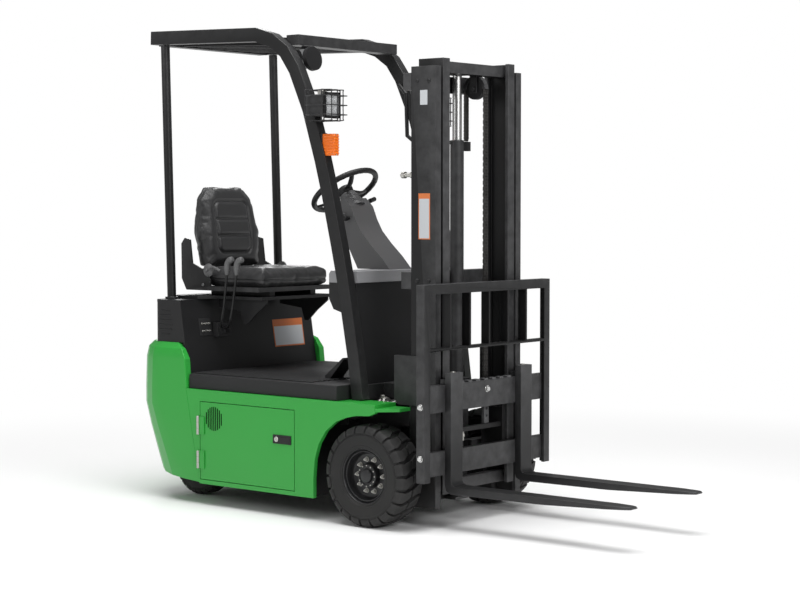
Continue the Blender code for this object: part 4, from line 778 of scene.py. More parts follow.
def makeSteeringWheel(look):
    low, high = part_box("steering_wheel")
    body = bodyOf("steering_wheel")
    hub, tube = truck(*look["hub"]), look["tube"]
    radius = (high.y - low.y) / 2 - tube
    turn = Matrix.Rotation(math.radians(-look["lean"]), 4, "Y")
    axis = turn @ Vector((0, 0, 1))
    mesh = bmesh.new()
    rows = []
    for step in range(look["around"]):
        angle = 2 * math.pi * step / look["around"]
        # finger grips round the underside of the rim
        swell = 1 + look["swell"] * math.cos(look["grips"] * angle)
        row = []
        for part in range(look["sides"]):
            round_ = 2 * math.pi * part / look["sides"]
            reach = radius + tube * math.cos(round_)
            drop = tube * math.sin(round_) * (swell if math.sin(round_) < 0 else 1)
            row.append(mesh.verts.new(hub + turn @ Vector((reach * math.cos(angle), reach * math.sin(angle), drop))))
        rows.append(row)
    bridge(mesh, rows, loop=True)
    for spoke in look["spokes"]:
        out = turn @ Vector((math.cos(math.radians(spoke)), math.sin(math.radians(spoke)), 0))
        across = axis.cross(out)
        start, end = hub + out * look["spokeStart"] - axis * look["spokeDrop"], hub + out * radius
        rings = []
        for share in look["spokeShares"]:
            middle = start.lerp(end, share) - axis * look["spokeSag"] * math.sin(math.pi * share)
            wide = look["spokeWide"] - look["spokeTaper"] * share
            angles = [2 * math.pi * part / look["spokeSides"] for part in range(look["spokeSides"])]
            rings.append([mesh.verts.new(middle + across * wide * math.cos(a) + axis * look["spokeThick"] * math.sin(a))
                          for a in angles])
        bridgeCapped(mesh, rings)
    cappedInto(mesh, hub - axis * look["hubDrop"], axis, look["hubOutline"], 40)
    finished("steering_wheel_rim", mesh, "blackPlastic", body, "steering_wheel", angle=50)
    mesh = bmesh.new()
    cappedInto(mesh, hub + axis * look["buttonRise"], axis, look["buttonOutline"])
    finished("horn_button", mesh, "leverGrey", body)
    # knob for turning the wheel with one hand
    mesh = bmesh.new()
    angle = math.radians(look["knobAngle"])
    spot = hub + turn @ Vector((radius * math.cos(angle), radius * math.sin(angle), tube * look["knobRise"]))
    cappedInto(mesh, spot, axis, look["knobOutline"], 28)
    finished("steering_knob", mesh, "blackPlastic", body, angle=50)


makeSteeringWheel(wheelLook)
print("steering wheel made")

# lamps, signals and mirror: shares are of the lamp's half width or half height
lampLook = dict(
    backInset=0.022, frontInset=0.008, bodyShare=0.86, fins=7, finSpan=0.78, finHalf=0.0022, finFrom=0.004,
    finTo=0.030, finTall=0.80, bezelFrom=0.010, bezelTo=0.001, bezelShare=0.80, lensFrom=0.0085, lensTo=0.0045,
    lensShare=0.82, bulbFrom=0.006, bulbAcross=0.50, bulbUp=0.38,
    bulb=[(0, 0.0125), (0.003, 0.0115), (0.0045, 0.006), (0.005, 0)],
    guardOut=0.024, guardRoot=0.018, guardSpread=0.011, wires=(-0.62, 0, 0.62), wire=0.0023, bendShare=0.84,
    bend=0.008, crossLift=0.002, hoopWire=0.0027, hoopInset=0.012, hoopCorner=0.9,
    bracket=(0.012, 0.016), bracketFrom=0.004, bracketTo=0.010, boltSize=0.013, boltHeight=0.008)
signalLook = dict(baseDeep=0.013, lensFrom=0.012, lensTo=0.002, inset=0.004, ribs=7, ribInset=0.014, ribFrom=0.018,
                  ribTo=0.0002, ribSide=0.002, ribHalf=0.0028, screwInset=0.007, screwDrop=0.003,
                  screw=[(0, 0.0032), (0.0022, 0.003), (0.003, 0.0018)])
mirrorLook = dict(centre=(-0.442, -0.285, 1.953), inset=0.0016, rounding=0.002,
                  outline=[(0, 0.047), (0.0012, 0.047), (0.0022, 0.0282), (0.0026, 0)])


def makeWorkLight(sideName, look):
    node = sideName + "_work_light"
    low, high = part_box(node)
    middle, body, face = (low + high) / 2, bodyOf(node), high.x
    half, tall = (high.y - low.y) / 2, (high.z - low.z) / 2

    def at(x, across, up):
        return Vector((x, middle.y + across, middle.z + up))

    # finned housing behind the lens, with a bezel round it
    mesh = bmesh.new()
    share = look["bodyShare"]
    boxInto(mesh, at(low.x + look["backInset"], -half * share, -tall * share),
            at(face - look["frontInset"], half * share, tall * share))
    for index in range(look["fins"]):
        y = half * look["finSpan"] * (2 * index / (look["fins"] - 1) - 1)
        boxInto(mesh, at(low.x + look["finFrom"], y - look["finHalf"], -tall * look["finTall"]),
                at(low.x + look["finTo"], y + look["finHalf"], tall * look["finTall"]))
    inner, back, front = look["bezelShare"], face - look["bezelFrom"], face - look["bezelTo"]
    for sign in (1, -1):
        boxInto(mesh, at(back, -half, sign * inner * tall), at(front, half, sign * tall))
    for sign in (-1, 1):
        boxInto(mesh, at(back, sign * inner * half, -tall), at(front, sign * half, tall))
    finished(sideName + "_lamp_housing", mesh, "blackPaint", body, node, edges=(0.0022,))
    mesh = bmesh.new()
    share = look["lensShare"]
    boxInto(mesh, at(face - look["lensFrom"], -half * share, -tall * share),
            at(face - look["lensTo"], half * share, tall * share))
    for row in (-1, 1):
        for column in (-1, 0, 1):
            spot = at(face - look["bulbFrom"], column * half * look["bulbAcross"], row * tall * look["bulbUp"])
            cappedInto(mesh, spot, (1, 0, 0), look["bulb"], 20)
    finished(sideName + "_lamp_lens", mesh, "lampGlass", body, angle=50, edges=(0.0008,))
    # wire guard in front of the lens, bent back to the housing
    mesh = bmesh.new()
    root, wide, deep = low.x + look["guardRoot"], half + look["guardSpread"], tall + look["guardSpread"]
    bent, front = face + look["guardOut"] - look["bend"], face + look["guardOut"]

    def route(x):
        share = look["bendShare"]
        return [(root, -1), (bent, -1), (x, -share), (x, 0), (x, share), (bent, 1), (root, 1)]

    for share in look["wires"]:
        tubeInto(mesh, [at(x, share * wide, end * deep) for x, end in route(front)], look["wire"], 8)
        tubeInto(mesh, [at(x, end * wide, share * deep) for x, end in route(front + look["crossLift"])],
                 look["wire"], 8)
    near = look["hoopCorner"]
    quarter = [(0, 1), (near, 1), (1, near)]
    hoop = quarter + [(1, 0), (1, -near), (near, -1), (0, -1), (-near, -1), (-1, -near), (-1, 0), (-1, near),
                      (-near, 1), (0, 1)]
    for x in (root, face - look["hoopInset"]):
        tubeInto(mesh, [at(x, across * wide, up * deep) for across, up in hoop], look["hoopWire"], 8, 3)
    finished(sideName + "_lamp_guard", mesh, "blackPaint", body, angle=60)
    # bracket and its bolt, up to the pillar
    mesh = bmesh.new()
    x, y = look["bracket"]
    boxInto(mesh, (middle.x - x, middle.y - y, high.z - look["bracketFrom"]),
            (middle.x + x, middle.y + y, high.z + look["bracketTo"]))
    hexInto(mesh, (middle.x, middle.y, high.z + look["bracketTo"]), (0, 0, 1), look["boltSize"], look["boltHeight"])
    finished(sideName + "_lamp_bracket", mesh, "zincSteel", body, edges=(0.001,))


def makeSignal(sideName, look):
    node = sideName + "_turn_signal"
    low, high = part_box(node)
    middle, body = (low + high) / 2, bodyOf(node)
    mesh = bmesh.new()
    inset = look["inset"]
    boxInto(mesh, (low.x + look["lensFrom"], low.y + inset, low.z + inset),
            (high.x - look["lensTo"], high.y - inset, high.z - inset))
    for index in range(look["ribs"]):
        z = low.z + look["ribInset"] + index * (high.z - low.z - 2 * look["ribInset"]) / (look["ribs"] - 1)
        boxInto(mesh, (low.x + look["ribFrom"], low.y + look["ribSide"], z - look["ribHalf"]),
                (high.x - look["ribTo"], high.y - look["ribSide"], z + look["ribHalf"]))
    finished(sideName + "_signal_lens", mesh, "signalLens", body, node, edges=(0.0022,))
    mesh = bmesh.new()
    boxInto(mesh, low, (low.x + look["baseDeep"], high.y, high.z))
    finished(sideName + "_signal_base", mesh, "blackPlastic", body, edges=(0.003,))
    mesh = bmesh.new()
    for z in (low.z + look["screwInset"], high.z - look["screwInset"]):
        cappedInto(mesh, (high.x - look["screwDrop"], middle.y, z), (1, 0, 0), look["screw"], 14)
    finished(sideName + "_signal_screws", mesh, "zincSteel", body)


def makeMirror(look):
    refined("rear_view_mirror", "blackPlastic", look["rounding"])
    mesh = bmesh.new()
    centre = truck(*look["centre"])
    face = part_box("rear_view_mirror")[0].x + look["inset"]
    cappedInto(mesh, (face, centre.y, centre.z), (-1, 0, 0), look["outline"], 40)
    finished("mirror_glass", mesh, "mirrorGlass", bodyOf("rear_view_mirror"), angle=50)


for sideName, side in sides:
    makeWorkLight(sideName, lampLook)
    makeSignal(sideName, signalLook)
makeMirror(mirrorLook)
print("lamps, signals and mirror made")

# driver's floor: a ribbed mat on the tray; louvres on both flanks of the hood
matLook = dict(pitch=0.034, width=0.019, height=0.0050, sink=0.001, front=-0.33, rear=-1.035, halfWidth=0.425,
               edges=(0.0015, 1))
louvreLook = dict(rows=6, firstZ=0.745, pitch=0.021, middleZ=0.797, halfTall=0.068, reach=0.046, leastShare=0.05,
                  x=-1.205, y=0.4275, halfDeep=0.0045, halfThick=0.0035, lean=24, edges=(0.0012, 1))


def makeMat(look):
    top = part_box("floor_plate")[1].z
    mesh = bmesh.new()
    for index in range(int(2 * look["halfWidth"] / look["pitch"])):
        y = -look["halfWidth"] + look["pitch"] * (index + 0.5)
        boxInto(mesh, truck(look["rear"], y - look["width"] / 2, top - look["sink"]),
                truck(look["front"], y + look["width"] / 2, top + look["height"]))
    finished("floor_mat_ribs", mesh, "matRubber", bodyOf("floor_plate"), edges=look["edges"])


def makeLouvres(look):
    for sideName, side in sides:
        mesh = bmesh.new()
        for row in range(look["rows"]):
            z = look["firstZ"] + row * look["pitch"]
            share = max(look["leastShare"], 1 - ((z - look["middleZ"]) / look["halfTall"]) ** 2)
            reach, y = look["reach"] * math.sqrt(share), side * look["y"]
            boxInto(mesh, truck(look["x"] - reach, y - look["halfDeep"], z - look["halfThick"]),
                    truck(look["x"] + reach, y + look["halfDeep"], z + look["halfThick"]),
                    Matrix.Rotation(math.radians(side * look["lean"]), 4, "X"))
        finished(sideName + "_hood_louvres", mesh, "blackPlastic", bodyOf("hood"), edges=look["edges"])


makeMat(matLook)
makeLouvres(louvreLook)
print("floor mat and hood louvres made")

# battery doors: slotted vent, lock with its barrel, and two hinges
doorLook = dict(
    skin=0.470, sink=0.001, slots=9, slotPitch=0.0115, slotHalf=0.0028, slotRise=0.0012, ventX=-0.862, ventZ=0.387,
    ventRadius=0.053, plate=((-0.505, 0.309), (-0.401, 0.347)), plateRise=0.004,
    pull=((-0.466, 0.317), (-0.410, 0.339)), pullFrom=0.0035, pullTo=0.0056, barrel=(-0.484, 0.328),
    barrelFrom=0.0038, barrelOutline=[(0, 0.0115), (0.0022, 0.0115), (0.003, 0.010), (0.003, 0.004), (0.0015, 0.004)],
    hinges=((0.162, 0.241), (0.312, 0.395)), knuckles=3, hingeX=-0.955, hingeY=0.4765, hingeRadius=0.0068,
    hingeEnd=0.0060, hingeGap=0.0004, hingeChamfer=0.0012, leaf=((-0.947, 0.4690), (-0.930, 0.4716)), leafInset=0.003)


def makeDoorDetails(sideName, side, look):
    body = bodyOf(sideName + "_battery_door")

    def onSkin(spot, out):
        return truck(spot[0], side * (look["skin"] + out), spot[1])

    # the vent's slots are dark bars on the door skin, with painted shade where the real slots are openings
    mesh = bmesh.new()
    for index in range(look["slots"]):
        x = (index - (look["slots"] - 1) / 2) * look["slotPitch"]
        reach = math.sqrt(look["ventRadius"] ** 2 - x * x)
        boxInto(mesh, onSkin((look["ventX"] + x - look["slotHalf"], look["ventZ"] - reach), -look["sink"]),
                onSkin((look["ventX"] + x + look["slotHalf"], look["ventZ"] + reach), look["slotRise"]))
    finished(sideName + "_door_vent", mesh, "paintedSlotShade", body, edges=(0.0005, 1))
    mesh = bmesh.new()
    boxInto(mesh, onSkin(look["plate"][0], -look["sink"]), onSkin(look["plate"][1], look["plateRise"]))
    boxInto(mesh, onSkin(look["pull"][0], look["pullFrom"]), onSkin(look["pull"][1], look["pullTo"]))
    finished(sideName + "_door_lock", mesh, "blackPlastic", body, edges=(0.0025,))
    mesh = bmesh.new()
    cappedInto(mesh, onSkin(look["barrel"], look["barrelFrom"]), (0, side, 0), look["barrelOutline"], 28)
    finished(sideName + "_lock_barrel", mesh, "zincSteel", body, edges=(0.0008, 1))
    mesh = bmesh.new()
    gap, end, chamfer, radius = look["hingeGap"], look["hingeEnd"], look["hingeChamfer"], look["hingeRadius"]
    for low, high in look["hinges"]:
        tall = (high - low) / look["knuckles"]
        outline = [(gap, end), (chamfer, radius), (tall - chamfer, radius), (tall - gap, end)]
        for part in range(look["knuckles"]):
            cappedInto(mesh, truck(look["hingeX"], side * look["hingeY"], low + part * tall), (0, 0, 1), outline, 16)
        (nearX, nearY), (farX, farY) = look["leaf"]
        boxInto(mesh, truck(nearX, side * nearY, low + look["leafInset"]),
                truck(farX, side * farY, high - look["leafInset"]))
    finished(sideName + "_door_hinges", mesh, "zincSteel", body)


for sideName, side in sides:
    makeDoorDetails(sideName, side, doorLook)
print("battery doors made")


# what lies on a CAD surface is placed where a straight line meets that surface
def hitOn(node, start, direction):
    mesh = nodes[node].data
    tree = BVHTree.FromPolygons([vert.co.copy() for vert in mesh.vertices], [list(face.vertices) for face in mesh.polygons])
    place, normal, index, distance = tree.ray_cast(Vector(start), Vector(direction))
    if place is None:
        raise ValueError("no surface of " + node + " in that direction")
    return place, (normal if normal.dot(Vector(direction)) < 0 else -normal)


def platePiece(name, node, corners, direction, thickness, finish, rounding=0.0003, sink=0.0004):
    # a thin plate whose four corners lie on the surface
    mesh = bmesh.new()
    hits = [hitOn(node, corner, direction)[0] for corner in corners]
    normal = hitOn(node, corners[0], direction)[1]
    under = [mesh.verts.new(place - normal * sink) for place in hits]
    over = [mesh.verts.new(place + normal * thickness) for place in hits]
    bridgeCapped(mesh, [under, over])
    finished(name, mesh, finish, bodyOf(node), edges=(rounding, 1))


def rectangle(first, second, place):
    # four corners, from two ranges and a function that places them
    return [place(a, b) for a, b in ((first[0], second[0]), (first[1], second[0]), (first[1], second[1]),
                                     (first[0], second[1]))]


# hood front: a blank notice, a switch panel, and levers in their gaiters
hoodLook = dict(
    # name, y range, z range, thickness, finish, rounding
    plates=(("hood_notice_edge", (0.152, 0.360), (0.658, 0.786), 0.0010, "labelOrange", 0.0003),
            ("hood_notice_sheet", (0.158, 0.354), (0.664, 0.753), 0.0016, "labelWhite", 0.0003),
            ("switch_panel", (-0.330, -0.255), (0.735, 0.812), 0.0022, "matRubber", 0.0008)),
    ahead=0.30, switchYs=(-0.312, -0.292, -0.272), switchZs=(0.756, 0.789), switchRise=0.002,
    switch=[(0, 0.0052), (0.002, 0.0052), (0.003, 0.003), (0.011, 0.0024), (0.012, 0.0014)])
leverLook = dict(
    # foot y, knee x and y, and the top's x
    levers=((-0.222, (-1.010, -0.270), -0.965), (-0.187, (-0.960, -0.268), -0.905)),
    footX=-1.0555, footZ=0.760, kneeZ=0.800, bendY=-0.276, bendZ=0.880, y=-0.278, topZ=1.030, rod=0.0055, knob=0.0145,
    # the knob's path, as x from the top, y from the lever and z
    grip=((-0.001, 0, 1.012), (0, 0, 1.040), (0.004, 0, 1.064), (0.016, 0, 1.078), (0.036, 0.002, 1.083)),
    gripSides=18, gripNeck=0.55, gripNeckShare=0.25, gripEnds=(0.88, 0.62), folds=4, foldPitch=0.008,
    gaiter=0.021, foldOut=(0.004, 0.020, 0.003), foldIn=(0.008, 0.015, 0.0025), gaiterTop=(0.038, 0.006),
    gaiterSink=0.004, box=((-1.0900, -0.246, 0.728), (-1.0560, -0.160, 0.792)), edges=(0.0018, 2, 50))


def makeHoodFront(look):
    back = (-1, 0, 0)
    for name, yRange, zRange, thickness, finish, rounding in look["plates"]:
        corners = rectangle(yRange, zRange, lambda y, z: truck(look["ahead"], y, z))
        platePiece(name, "hood", corners, back, thickness, finish, rounding)
    mesh = bmesh.new()
    for y in look["switchYs"]:
        for z in look["switchZs"]:
            place, normal = hitOn("hood", truck(look["ahead"], y, z), back)
            cappedInto(mesh, place + normal * look["switchRise"], normal, look["switch"], 14)
    finished("hood_switches", mesh, "zincSteel", bodyOf("hood"))


def makeLevers(look):
    body = bodyOf("control_levers")
    rods, knobs, gaiters = bmesh.new(), bmesh.new(), bmesh.new()
    for footY, (kneeX, kneeY), top in look["levers"]:
        foot, knee = truck(look["footX"], footY, look["footZ"]), truck(kneeX, kneeY, look["kneeZ"])
        bend = truck((kneeX + top) / 2, look["bendY"], look["bendZ"])
        tubeInto(rods, [foot, knee, bend, truck(top, look["y"], look["topZ"])], look["rod"], 12, 8)
        path = smoothPath([truck(top + x, look["y"] + y, z) for x, y, z in look["grip"]], 5)
        shares = [index / (len(path) - 1) for index in range(len(path))]
        neck = look["gripNeck"]
        girths = [neck + (1 - neck) * min(1, share / look["gripNeckShare"]) for share in shares]
        girths[-2:] = look["gripEnds"]
        radii = [look["knob"] * girth for girth in girths]
        bridgeCapped(knobs, sweptRings(knobs, path, radii, look["gripSides"], Vector((0, 1, 0))))
        axis = (knee - foot).normalized()
        bellows = [(0.0, look["gaiter"])]
        for fold in range(look["folds"]):
            for along, radius, shrink in (look["foldOut"], look["foldIn"]):
                bellows.append((along + fold * look["foldPitch"], radius - fold * shrink))
        cappedInto(gaiters, foot - axis * look["gaiterSink"], axis, bellows + [look["gaiterTop"]], 22)
    boxInto(gaiters, *trucks(*look["box"]))
    finished("lever_rods", rods, "blackPaint", body, "control_levers", angle=50)
    finished("lever_knobs", knobs, "leverGrey", body, angle=50, edges=look["edges"])
    finished("lever_gaiters", gaiters, "matRubber", body, angle=50, edges=look["edges"])


refined("hood", "blackPlastic", 0.014, 4, 40)
refined("counterweight", "greenPaint", 0.012, 3, 14)
makeHoodFront(hoodLook)
makeLevers(leverLook)
print("hood front and levers made")

# leaf chains: plates on pins, and the forked anchor that holds the chain's end on the carriage
chainLook = dict(plate=0.0022, pin=0.0028, pinY=0.0475, pinLong=0.025, tall=0.0110, lap=0.86, y=0.060,
                 oddRow=(-0.0105, -0.0045, 0.0045, 0.0105), evenRow=(-0.0075, 0.0, 0.0075), endSteps=6)
anchorLook = dict(cheekX=(0.2218, 0.2350), cheekY=0.0150, cheekHalf=0.0014, z=(0.396, 0.520), frontX=(0.2338, 0.2356),
                  frontY=(0.0440, 0.0760), boltX=0.2355, boltZs=(0.435, 0.465, 0.495), boltSize=0.011,
                  boltHeight=0.0045, edges=(0.0012, 1))


def linkPlate(mesh, middle, length, look):
    # a plate with round ends, standing across y
    tall, rows = look["tall"], []
    for side in (-1, 1):
        row = []
        for end, start in ((1, 0), (-1, math.pi)):
            for step in range(look["endSteps"] + 1):
                angle = start + math.pi * step / look["endSteps"]
                spot = Vector((tall / 2 * math.cos(angle), side * look["plate"] / 2,
                               end * (length - tall) / 2 + tall / 2 * math.sin(angle)))
                row.append(mesh.verts.new(middle + spot))
        rows.append(row)
    bridgeCapped(mesh, rows)


def chainRun(name, x, low, high, pitch, look):
    mesh = bmesh.new()
    count = max(3, round((high - low - look["tall"]) / pitch))
    pitch = (high - low - look["tall"]) / count
    for index in range(count + 1):
        z = low + look["tall"] / 2 + pitch * index
        pin = [(0, look["pin"]), (look["pinLong"], look["pin"])]
        cappedInto(mesh, truck(x, look["pinY"], z), (0, 1, 0), pin, 10)
        if index < count:
            for offset in look["oddRow"] if index % 2 else look["evenRow"]:
                middle = truck(x, look["y"] + offset, z + pitch / 2)
                linkPlate(mesh, middle, pitch + look["tall"] * look["lap"], look)
    run = pieceFrom(name, cleaned(mesh, 30))
    run.data.materials.append(coats["oiledChain"])
    return run


def makeChains(look, anchor):
    # the front run rides rigidly on the inner mast; the real run shortens towards the sheave as the carriage climbs
    front = chainRun("lift_chain_links", 0.2269, 0.4023, 1.8147, 0.0127, look)
    settle(front, "oiledChain", "inner_mast", "lift_chain")
    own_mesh(front)
    # the tail pays out between the cylinder's anchor and the rising sheave
    tail = chainRun("lift_chain_tail_links", 0.1251, 1.5953, 1.8147, 0.0073, look)
    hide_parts("lift_chain_tail")
    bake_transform(tail, "outer_mast", "inner_mast", start=truck(0.1251, 0.060, 1.5953),
             end=truck(0.1251, 0.060, 1.8147))
    mesh = bmesh.new()
    low, high = anchor["z"]
    for side in (-1, 1):
        y = look["y"] + side * anchor["cheekY"]
        boxInto(mesh, truck(anchor["cheekX"][0], y - anchor["cheekHalf"], low),
                truck(anchor["cheekX"][1], y + anchor["cheekHalf"], high))
    boxInto(mesh, *[truck(x, y, z) for x, y, z in zip(anchor["frontX"], anchor["frontY"], anchor["z"])])
    for z in anchor["boltZs"]:
        hexInto(mesh, truck(anchor["boltX"], look["y"], z), (1, 0, 0), anchor["boltSize"], anchor["boltHeight"])
    finished("chain_anchor_fork", mesh, "mastPaint", "fork_carriage", edges=anchor["edges"])


makeChains(chainLook, anchorLook)
print("chains made")

# mast: blank plates, bolts, a hose and its fittings
mastLook = dict(
    # name, x range, z range, finish, thickness
    plates=(("mast_notice_edge", (0.152, 0.212), (1.186, 1.374), "labelOrange", 0.0007),
            ("mast_notice_sheet", (0.156, 0.208), (1.190, 1.352), "labelWhite", 0.0012),
            ("mast_small_plate", (0.160, 0.198), (1.735, 1.795), "labelWhite", 0.0009)),
    outside=0.6, stub=(0.1135, -0.283, 1.450),
    stubOutline=[(0, 0.013), (0.012, 0.013), (0.014, 0.009), (0.040, 0.009), (0.042, 0.014), (0.058, 0.014),
                 (0.062, 0.011)],
    block=((0.200, -0.128, 0.342), (0.230, -0.090, 0.392)),
    # place, direction, size and height of each union on the block
    unions=(((0.230, -0.109, 0.367), (1, 0, 0), 0.022, 0.011), ((0.215, -0.128, 0.376), (0, -1, 0), 0.017, 0.014),
            ((0.215, -0.128, 0.354), (0, -1, 0), 0.014, 0.012), ((0.215, -0.109, 0.342), (0, 0, -1), 0.018, 0.016)),
    hose=((0.126, -0.026, 0.400), (0.126, -0.050, 0.425), (0.132, -0.090, 0.520), (0.134, -0.112, 0.640),
          (0.134, -0.112, 0.900), (0.134, -0.112, 1.300), (0.134, -0.100, 1.560), (0.128, -0.046, 1.590)),
    hoseRadius=0.0075, boltZs=(0.274, 1.015, 1.833), boltXs=(0.145, 0.205), boltSize=0.014, boltHeight=0.006)
carriageLook = dict(
    ahead=0.6, frontBolt=(0.004, 0.556), frontSize=0.021, frontHeight=0.010, sideBolt=(0.275, 0.4405),
    sideZs=(0.512, 0.304), sideSize=0.019, sideHeight=0.009, notches=7, notchFrom=-0.165, notchPitch=0.055,
    notchHalf=0.014, notchX=(0.2515, 0.2785), notchZ=(0.592, 0.6005), lock=(0.290, 0.245, 0.612),
    lockOutline=[(0, 0.008), (0.020, 0.008), (0.022, 0.012), (0.032, 0.012), (0.034, 0.009)])
tiltLook = dict(
    y=0.268, rear=(-0.245, 0.430), eye=(0.075, 0.530), glandBack=0.040,
    gland=[(0, 0.0285), (0.006, 0.0300), (0.012, 0.0285), (0.014, 0.0270), (0.024, 0.0270), (0.026, 0.0290),
           (0.034, 0.0290), (0.038, 0.0240), (0.038, 0.0120), (0, 0.0120)],
    ports=(0.10, 0.19), portRise=0.030, portSize=0.017, portHeight=0.012)


def makeMastDetails(look):
    for name, xRange, zRange, finish, thickness in look["plates"]:
        corners = rectangle(xRange, zRange, lambda x, z: truck(x, -look["outside"], z))
        platePiece(name, "outer_mast_right_rail", corners, (0, 1, 0), thickness, finish)
    mesh = bmesh.new()
    cappedInto(mesh, truck(*look["stub"]), (-1, 0, 0), look["stubOutline"], 24)
    finished("mast_hose_stub", mesh, "zincSteel", "outer_mast")
    # fitting block low in the mast; nothing holds it
    mesh = bmesh.new()
    boxInto(mesh, *trucks(*look["block"]))
    for place, along, size, height in look["unions"]:
        hexInto(mesh, truck(*place), along, size, height)
    finished("hydraulic_block", mesh, "zincSteel", "inner_mast", angle=25, edges=(0.0012, 1, 25))
    mesh = bmesh.new()
    tubeInto(mesh, trucks(*look["hose"]), look["hoseRadius"], 12, 6)
    finished("mast_hoses", mesh, "hoseRubber", "outer_mast", angle=60)
    mesh = bmesh.new()
    for sideName, side in sides:
        for z in look["boltZs"]:
            for x in look["boltXs"]:
                place = hitOn("outer_mast_" + sideName + "_rail", truck(x, side * look["outside"], z), (0, -side, 0))[0]
                hexInto(mesh, place, (0, side, 0), look["boltSize"], look["boltHeight"])
    finished("outer_mast_bolts", mesh, "blackPaint", "outer_mast", angle=25, edges=(0.0005, 1, 25))


def makeCarriageDetails(look):
    mesh = bmesh.new()
    place = hitOn("carriage", truck(look["ahead"], *look["frontBolt"]), (-1, 0, 0))[0]
    hexInto(mesh, place, (1, 0, 0), look["frontSize"], look["frontHeight"])
    x, y = look["sideBolt"]
    for side in (-1, 1):
        for z in look["sideZs"]:
            hexInto(mesh, truck(x, side * y, z), (0, side, 0), look["sideSize"], look["sideHeight"])
    finished("carriage_bolts", mesh, "brightSteel", "fork_carriage", angle=25, edges=(0.0007, 1, 25))
    # stop blocks along the top bar's edge, for the fork locks
    mesh = bmesh.new()
    for index in range(look["notches"]):
        y = look["notchFrom"] + index * look["notchPitch"]
        boxInto(mesh, truck(look["notchX"][0], y - look["notchHalf"], look["notchZ"][0]),
                truck(look["notchX"][1], y + look["notchHalf"], look["notchZ"][1]))
    finished("carriage_notches", mesh, "mastPaint", "fork_carriage", edges=(0.0015, 1))
    # fork lock pins
    mesh = bmesh.new()
    x, y, z = look["lock"]
    for side in (-1, 1):
        cappedInto(mesh, truck(x, side * y, z), (0, 0, 1), look["lockOutline"], 20)
    finished("fork_locks", mesh, "zincSteel", "fork_carriage")


def makeTiltDetails(look):
    for sideName, side in sides:
        rear, eye = [truck(x, side * look["y"], z) for x, z in (look["rear"], look["eye"])]
        body = bodyOf(sideName + "_tilt_cylinder")
        along = (eye - rear).normalized()
        reach = (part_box(sideName + "_tilt_cylinder")[1].x - rear.x) / along.x
        mesh = bmesh.new()
        turnedInto(mesh, rear + along * (reach - look["glandBack"]), along, look["gland"], 28)
        finished(sideName + "_tilt_gland", mesh, "zincSteel", body)
        mesh = bmesh.new()
        for share in look["ports"]:
            place = rear + along * share + Vector((0, 0, look["portRise"]))
            hexInto(mesh, place, (0, 0, 1), look["portSize"], look["portHeight"])
        finished(sideName + "_tilt_ports", mesh, "zincSteel", body, angle=25)


makeMastDetails(mastLook)
makeCarriageDetails(carriageLook)
makeTiltDetails(tiltLook)
print("mast, carriage and tilt details made")

# cowl with its pale shelf, column cover with its boot and switches, pedal ribs
cowlLook = dict(shelfZ=0.998, edges=(0.010, 4))
columnLook = dict(
    rounding=0.014, steps=4, bootDrop=0.090,
    boot=[(0, 0.046), (0.010, 0.050), (0.014, 0.046), (0.020, 0.048), (0.030, 0.047), (0.034, 0.042), (0.040, 0.044),
          (0.050, 0.042), (0.054, 0.036), (0.062, 0.034)],
    switches=((-1, 0.150), (1, 0.130)), switchY=0.045,
    switch=[(0, 0.012), (0.020, 0.011), (0.024, 0.008), (0.040, 0.008), (0.044, 0.012), (0.060, 0.012),
            (0.063, 0.009)],
    # the stalk and its grip, as distances to the left and up the column's axis
    stalkDrop=0.075, stalk=((0.03, 0), (0.085, 0.006), (0.150, 0.022)), stalkRod=0.0055,
    grip=((0.132, 0.017), (0.150, 0.022), (0.172, 0.028)), gripRod=0.0105)
pedalLook = dict(ribs=7, inset=0.008, above=0.2, rod=0.0026, acceleratorShares=(0.30, 0.86), brakeReaches=(0.012, 0.036))


def makeCowl(look):
    cowl = refined("front_cowl", "blackPlastic", 0)
    mesh = bmesh.new()
    mesh.from_mesh(cowl.data)
    parts = mesh.verts[:] + mesh.edges[:] + mesh.faces[:]
    bmesh.ops.bisect_plane(mesh, geom=parts, plane_co=(0, 0, look["shelfZ"]), plane_no=(0, 0, 1))
    for face in mesh.faces:
        face.material_index = 1 if face.calc_center_median().z > look["shelfZ"] else 0
    mesh.to_mesh(cowl.data)
    mesh.free()
    cowl.data.materials.append(coats["greyPlastic"])
    roundEdges(cowl, *look["edges"])


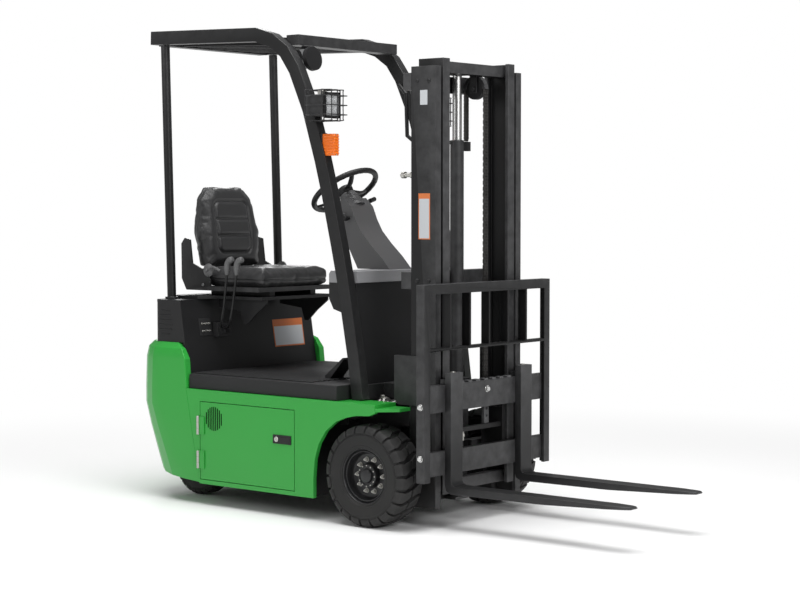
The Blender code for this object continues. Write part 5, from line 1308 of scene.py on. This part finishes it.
def makeColumn(look):
    refined("steering_column", "coverPlastic", look["rounding"], look["steps"])
    body = bodyOf("steering_column")
    axis = Matrix.Rotation(math.radians(-wheelLook["lean"]), 3, "Y") @ Vector((0, 0, 1))
    hub, across = truck(*wheelLook["hub"]), Vector((0, 1, 0))
    mesh = bmesh.new()
    cappedInto(mesh, hub - axis * look["bootDrop"], axis, look["boot"], 36)
    finished("column_boot", mesh, "coverPlastic", body, angle=50)
    mesh = bmesh.new()
    for side, drop in look["switches"]:
        cappedInto(mesh, hub - axis * drop + across * side * look["switchY"], across * side, look["switch"], 20)
    finished("column_switches", mesh, "blackPlastic", body, angle=40)
    mesh = bmesh.new()
    start = hub - axis * look["stalkDrop"]
    for points, rod, count, rounds in ((look["stalk"], look["stalkRod"], 12, 6), (look["grip"], look["gripRod"], 14, 4)):
        tubeInto(mesh, [start + across * left + axis * up for left, up in points], rod, count, rounds)
    finished("direction_stalk", mesh, "blackPlastic", body, angle=50)


def makePedals(look):
    for node in ("accelerator_pedal", "brake_pedal"):
        low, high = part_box(node)
        if node == "brake_pedal":
            reaches = look["brakeReaches"]
        else:
            reaches = [(high.x - low.x) * share for share in look["acceleratorShares"]]
        mesh = bmesh.new()
        for index in range(look["ribs"]):
            y = low.y + look["inset"] + (high.y - low.y - 2 * look["inset"]) * index / (look["ribs"] - 1)
            ends = [hitOn(node, (low.x + reach, y, high.z + look["above"]), (0, 0, -1))[0] for reach in reaches]
            tubeInto(mesh, ends, look["rod"], 8, 1)
        finished(node + "_ribs", mesh, "matRubber", bodyOf(node), angle=50)


makeCowl(cowlLook)
makeColumn(columnLook)
makePedals(pedalLook)
print("cowl, column and pedals made")

# every other CAD piece keeps its shape, with worked edges and its own finish
plainNodes = (
    ("greenPaint", 0.004, ("left_side_panel", "right_side_panel", "left_battery_door", "right_battery_door")),
    ("blackPaint", 0.002, ("chassis_frame", "guard_left_pillar", "guard_right_pillar", "guard_roof", "left_rear_post",
                           "right_rear_post", "front_axle", "rear_axle", "left_knuckle", "right_knuckle",
                           "seat_frame", "battery", "accelerator_pedal", "brake_pedal", "grab_handle",
                           "right_tilt_cylinder", "left_tilt_cylinder")),
    ("mastPaint", 0.0018, ("outer_mast_left_rail", "outer_mast_right_rail", "outer_mast_bottom_tie",
                           "outer_mast_middle_tie", "outer_mast_top_tie", "inner_mast_left_rail",
                           "inner_mast_right_rail", "inner_mast_bottom_tie", "inner_mast_crosshead", "carriage",
                           "load_backrest", "lift_cylinder")),
    ("forkSteel", 0.002, ("left_fork", "right_fork")),
    ("blackPlastic", 0.004, ("hood_lid",)),
    ("matRubber", 0.003, ("floor_plate",)),
    ("brightSteel", 0.0008, ("lift_rod", "left_tilt_rod", "right_tilt_rod")),
)
for finish, rounding, names in plainNodes:
    for node in names:
        refined(node, finish, rounding)
print("carried-over pieces finished")
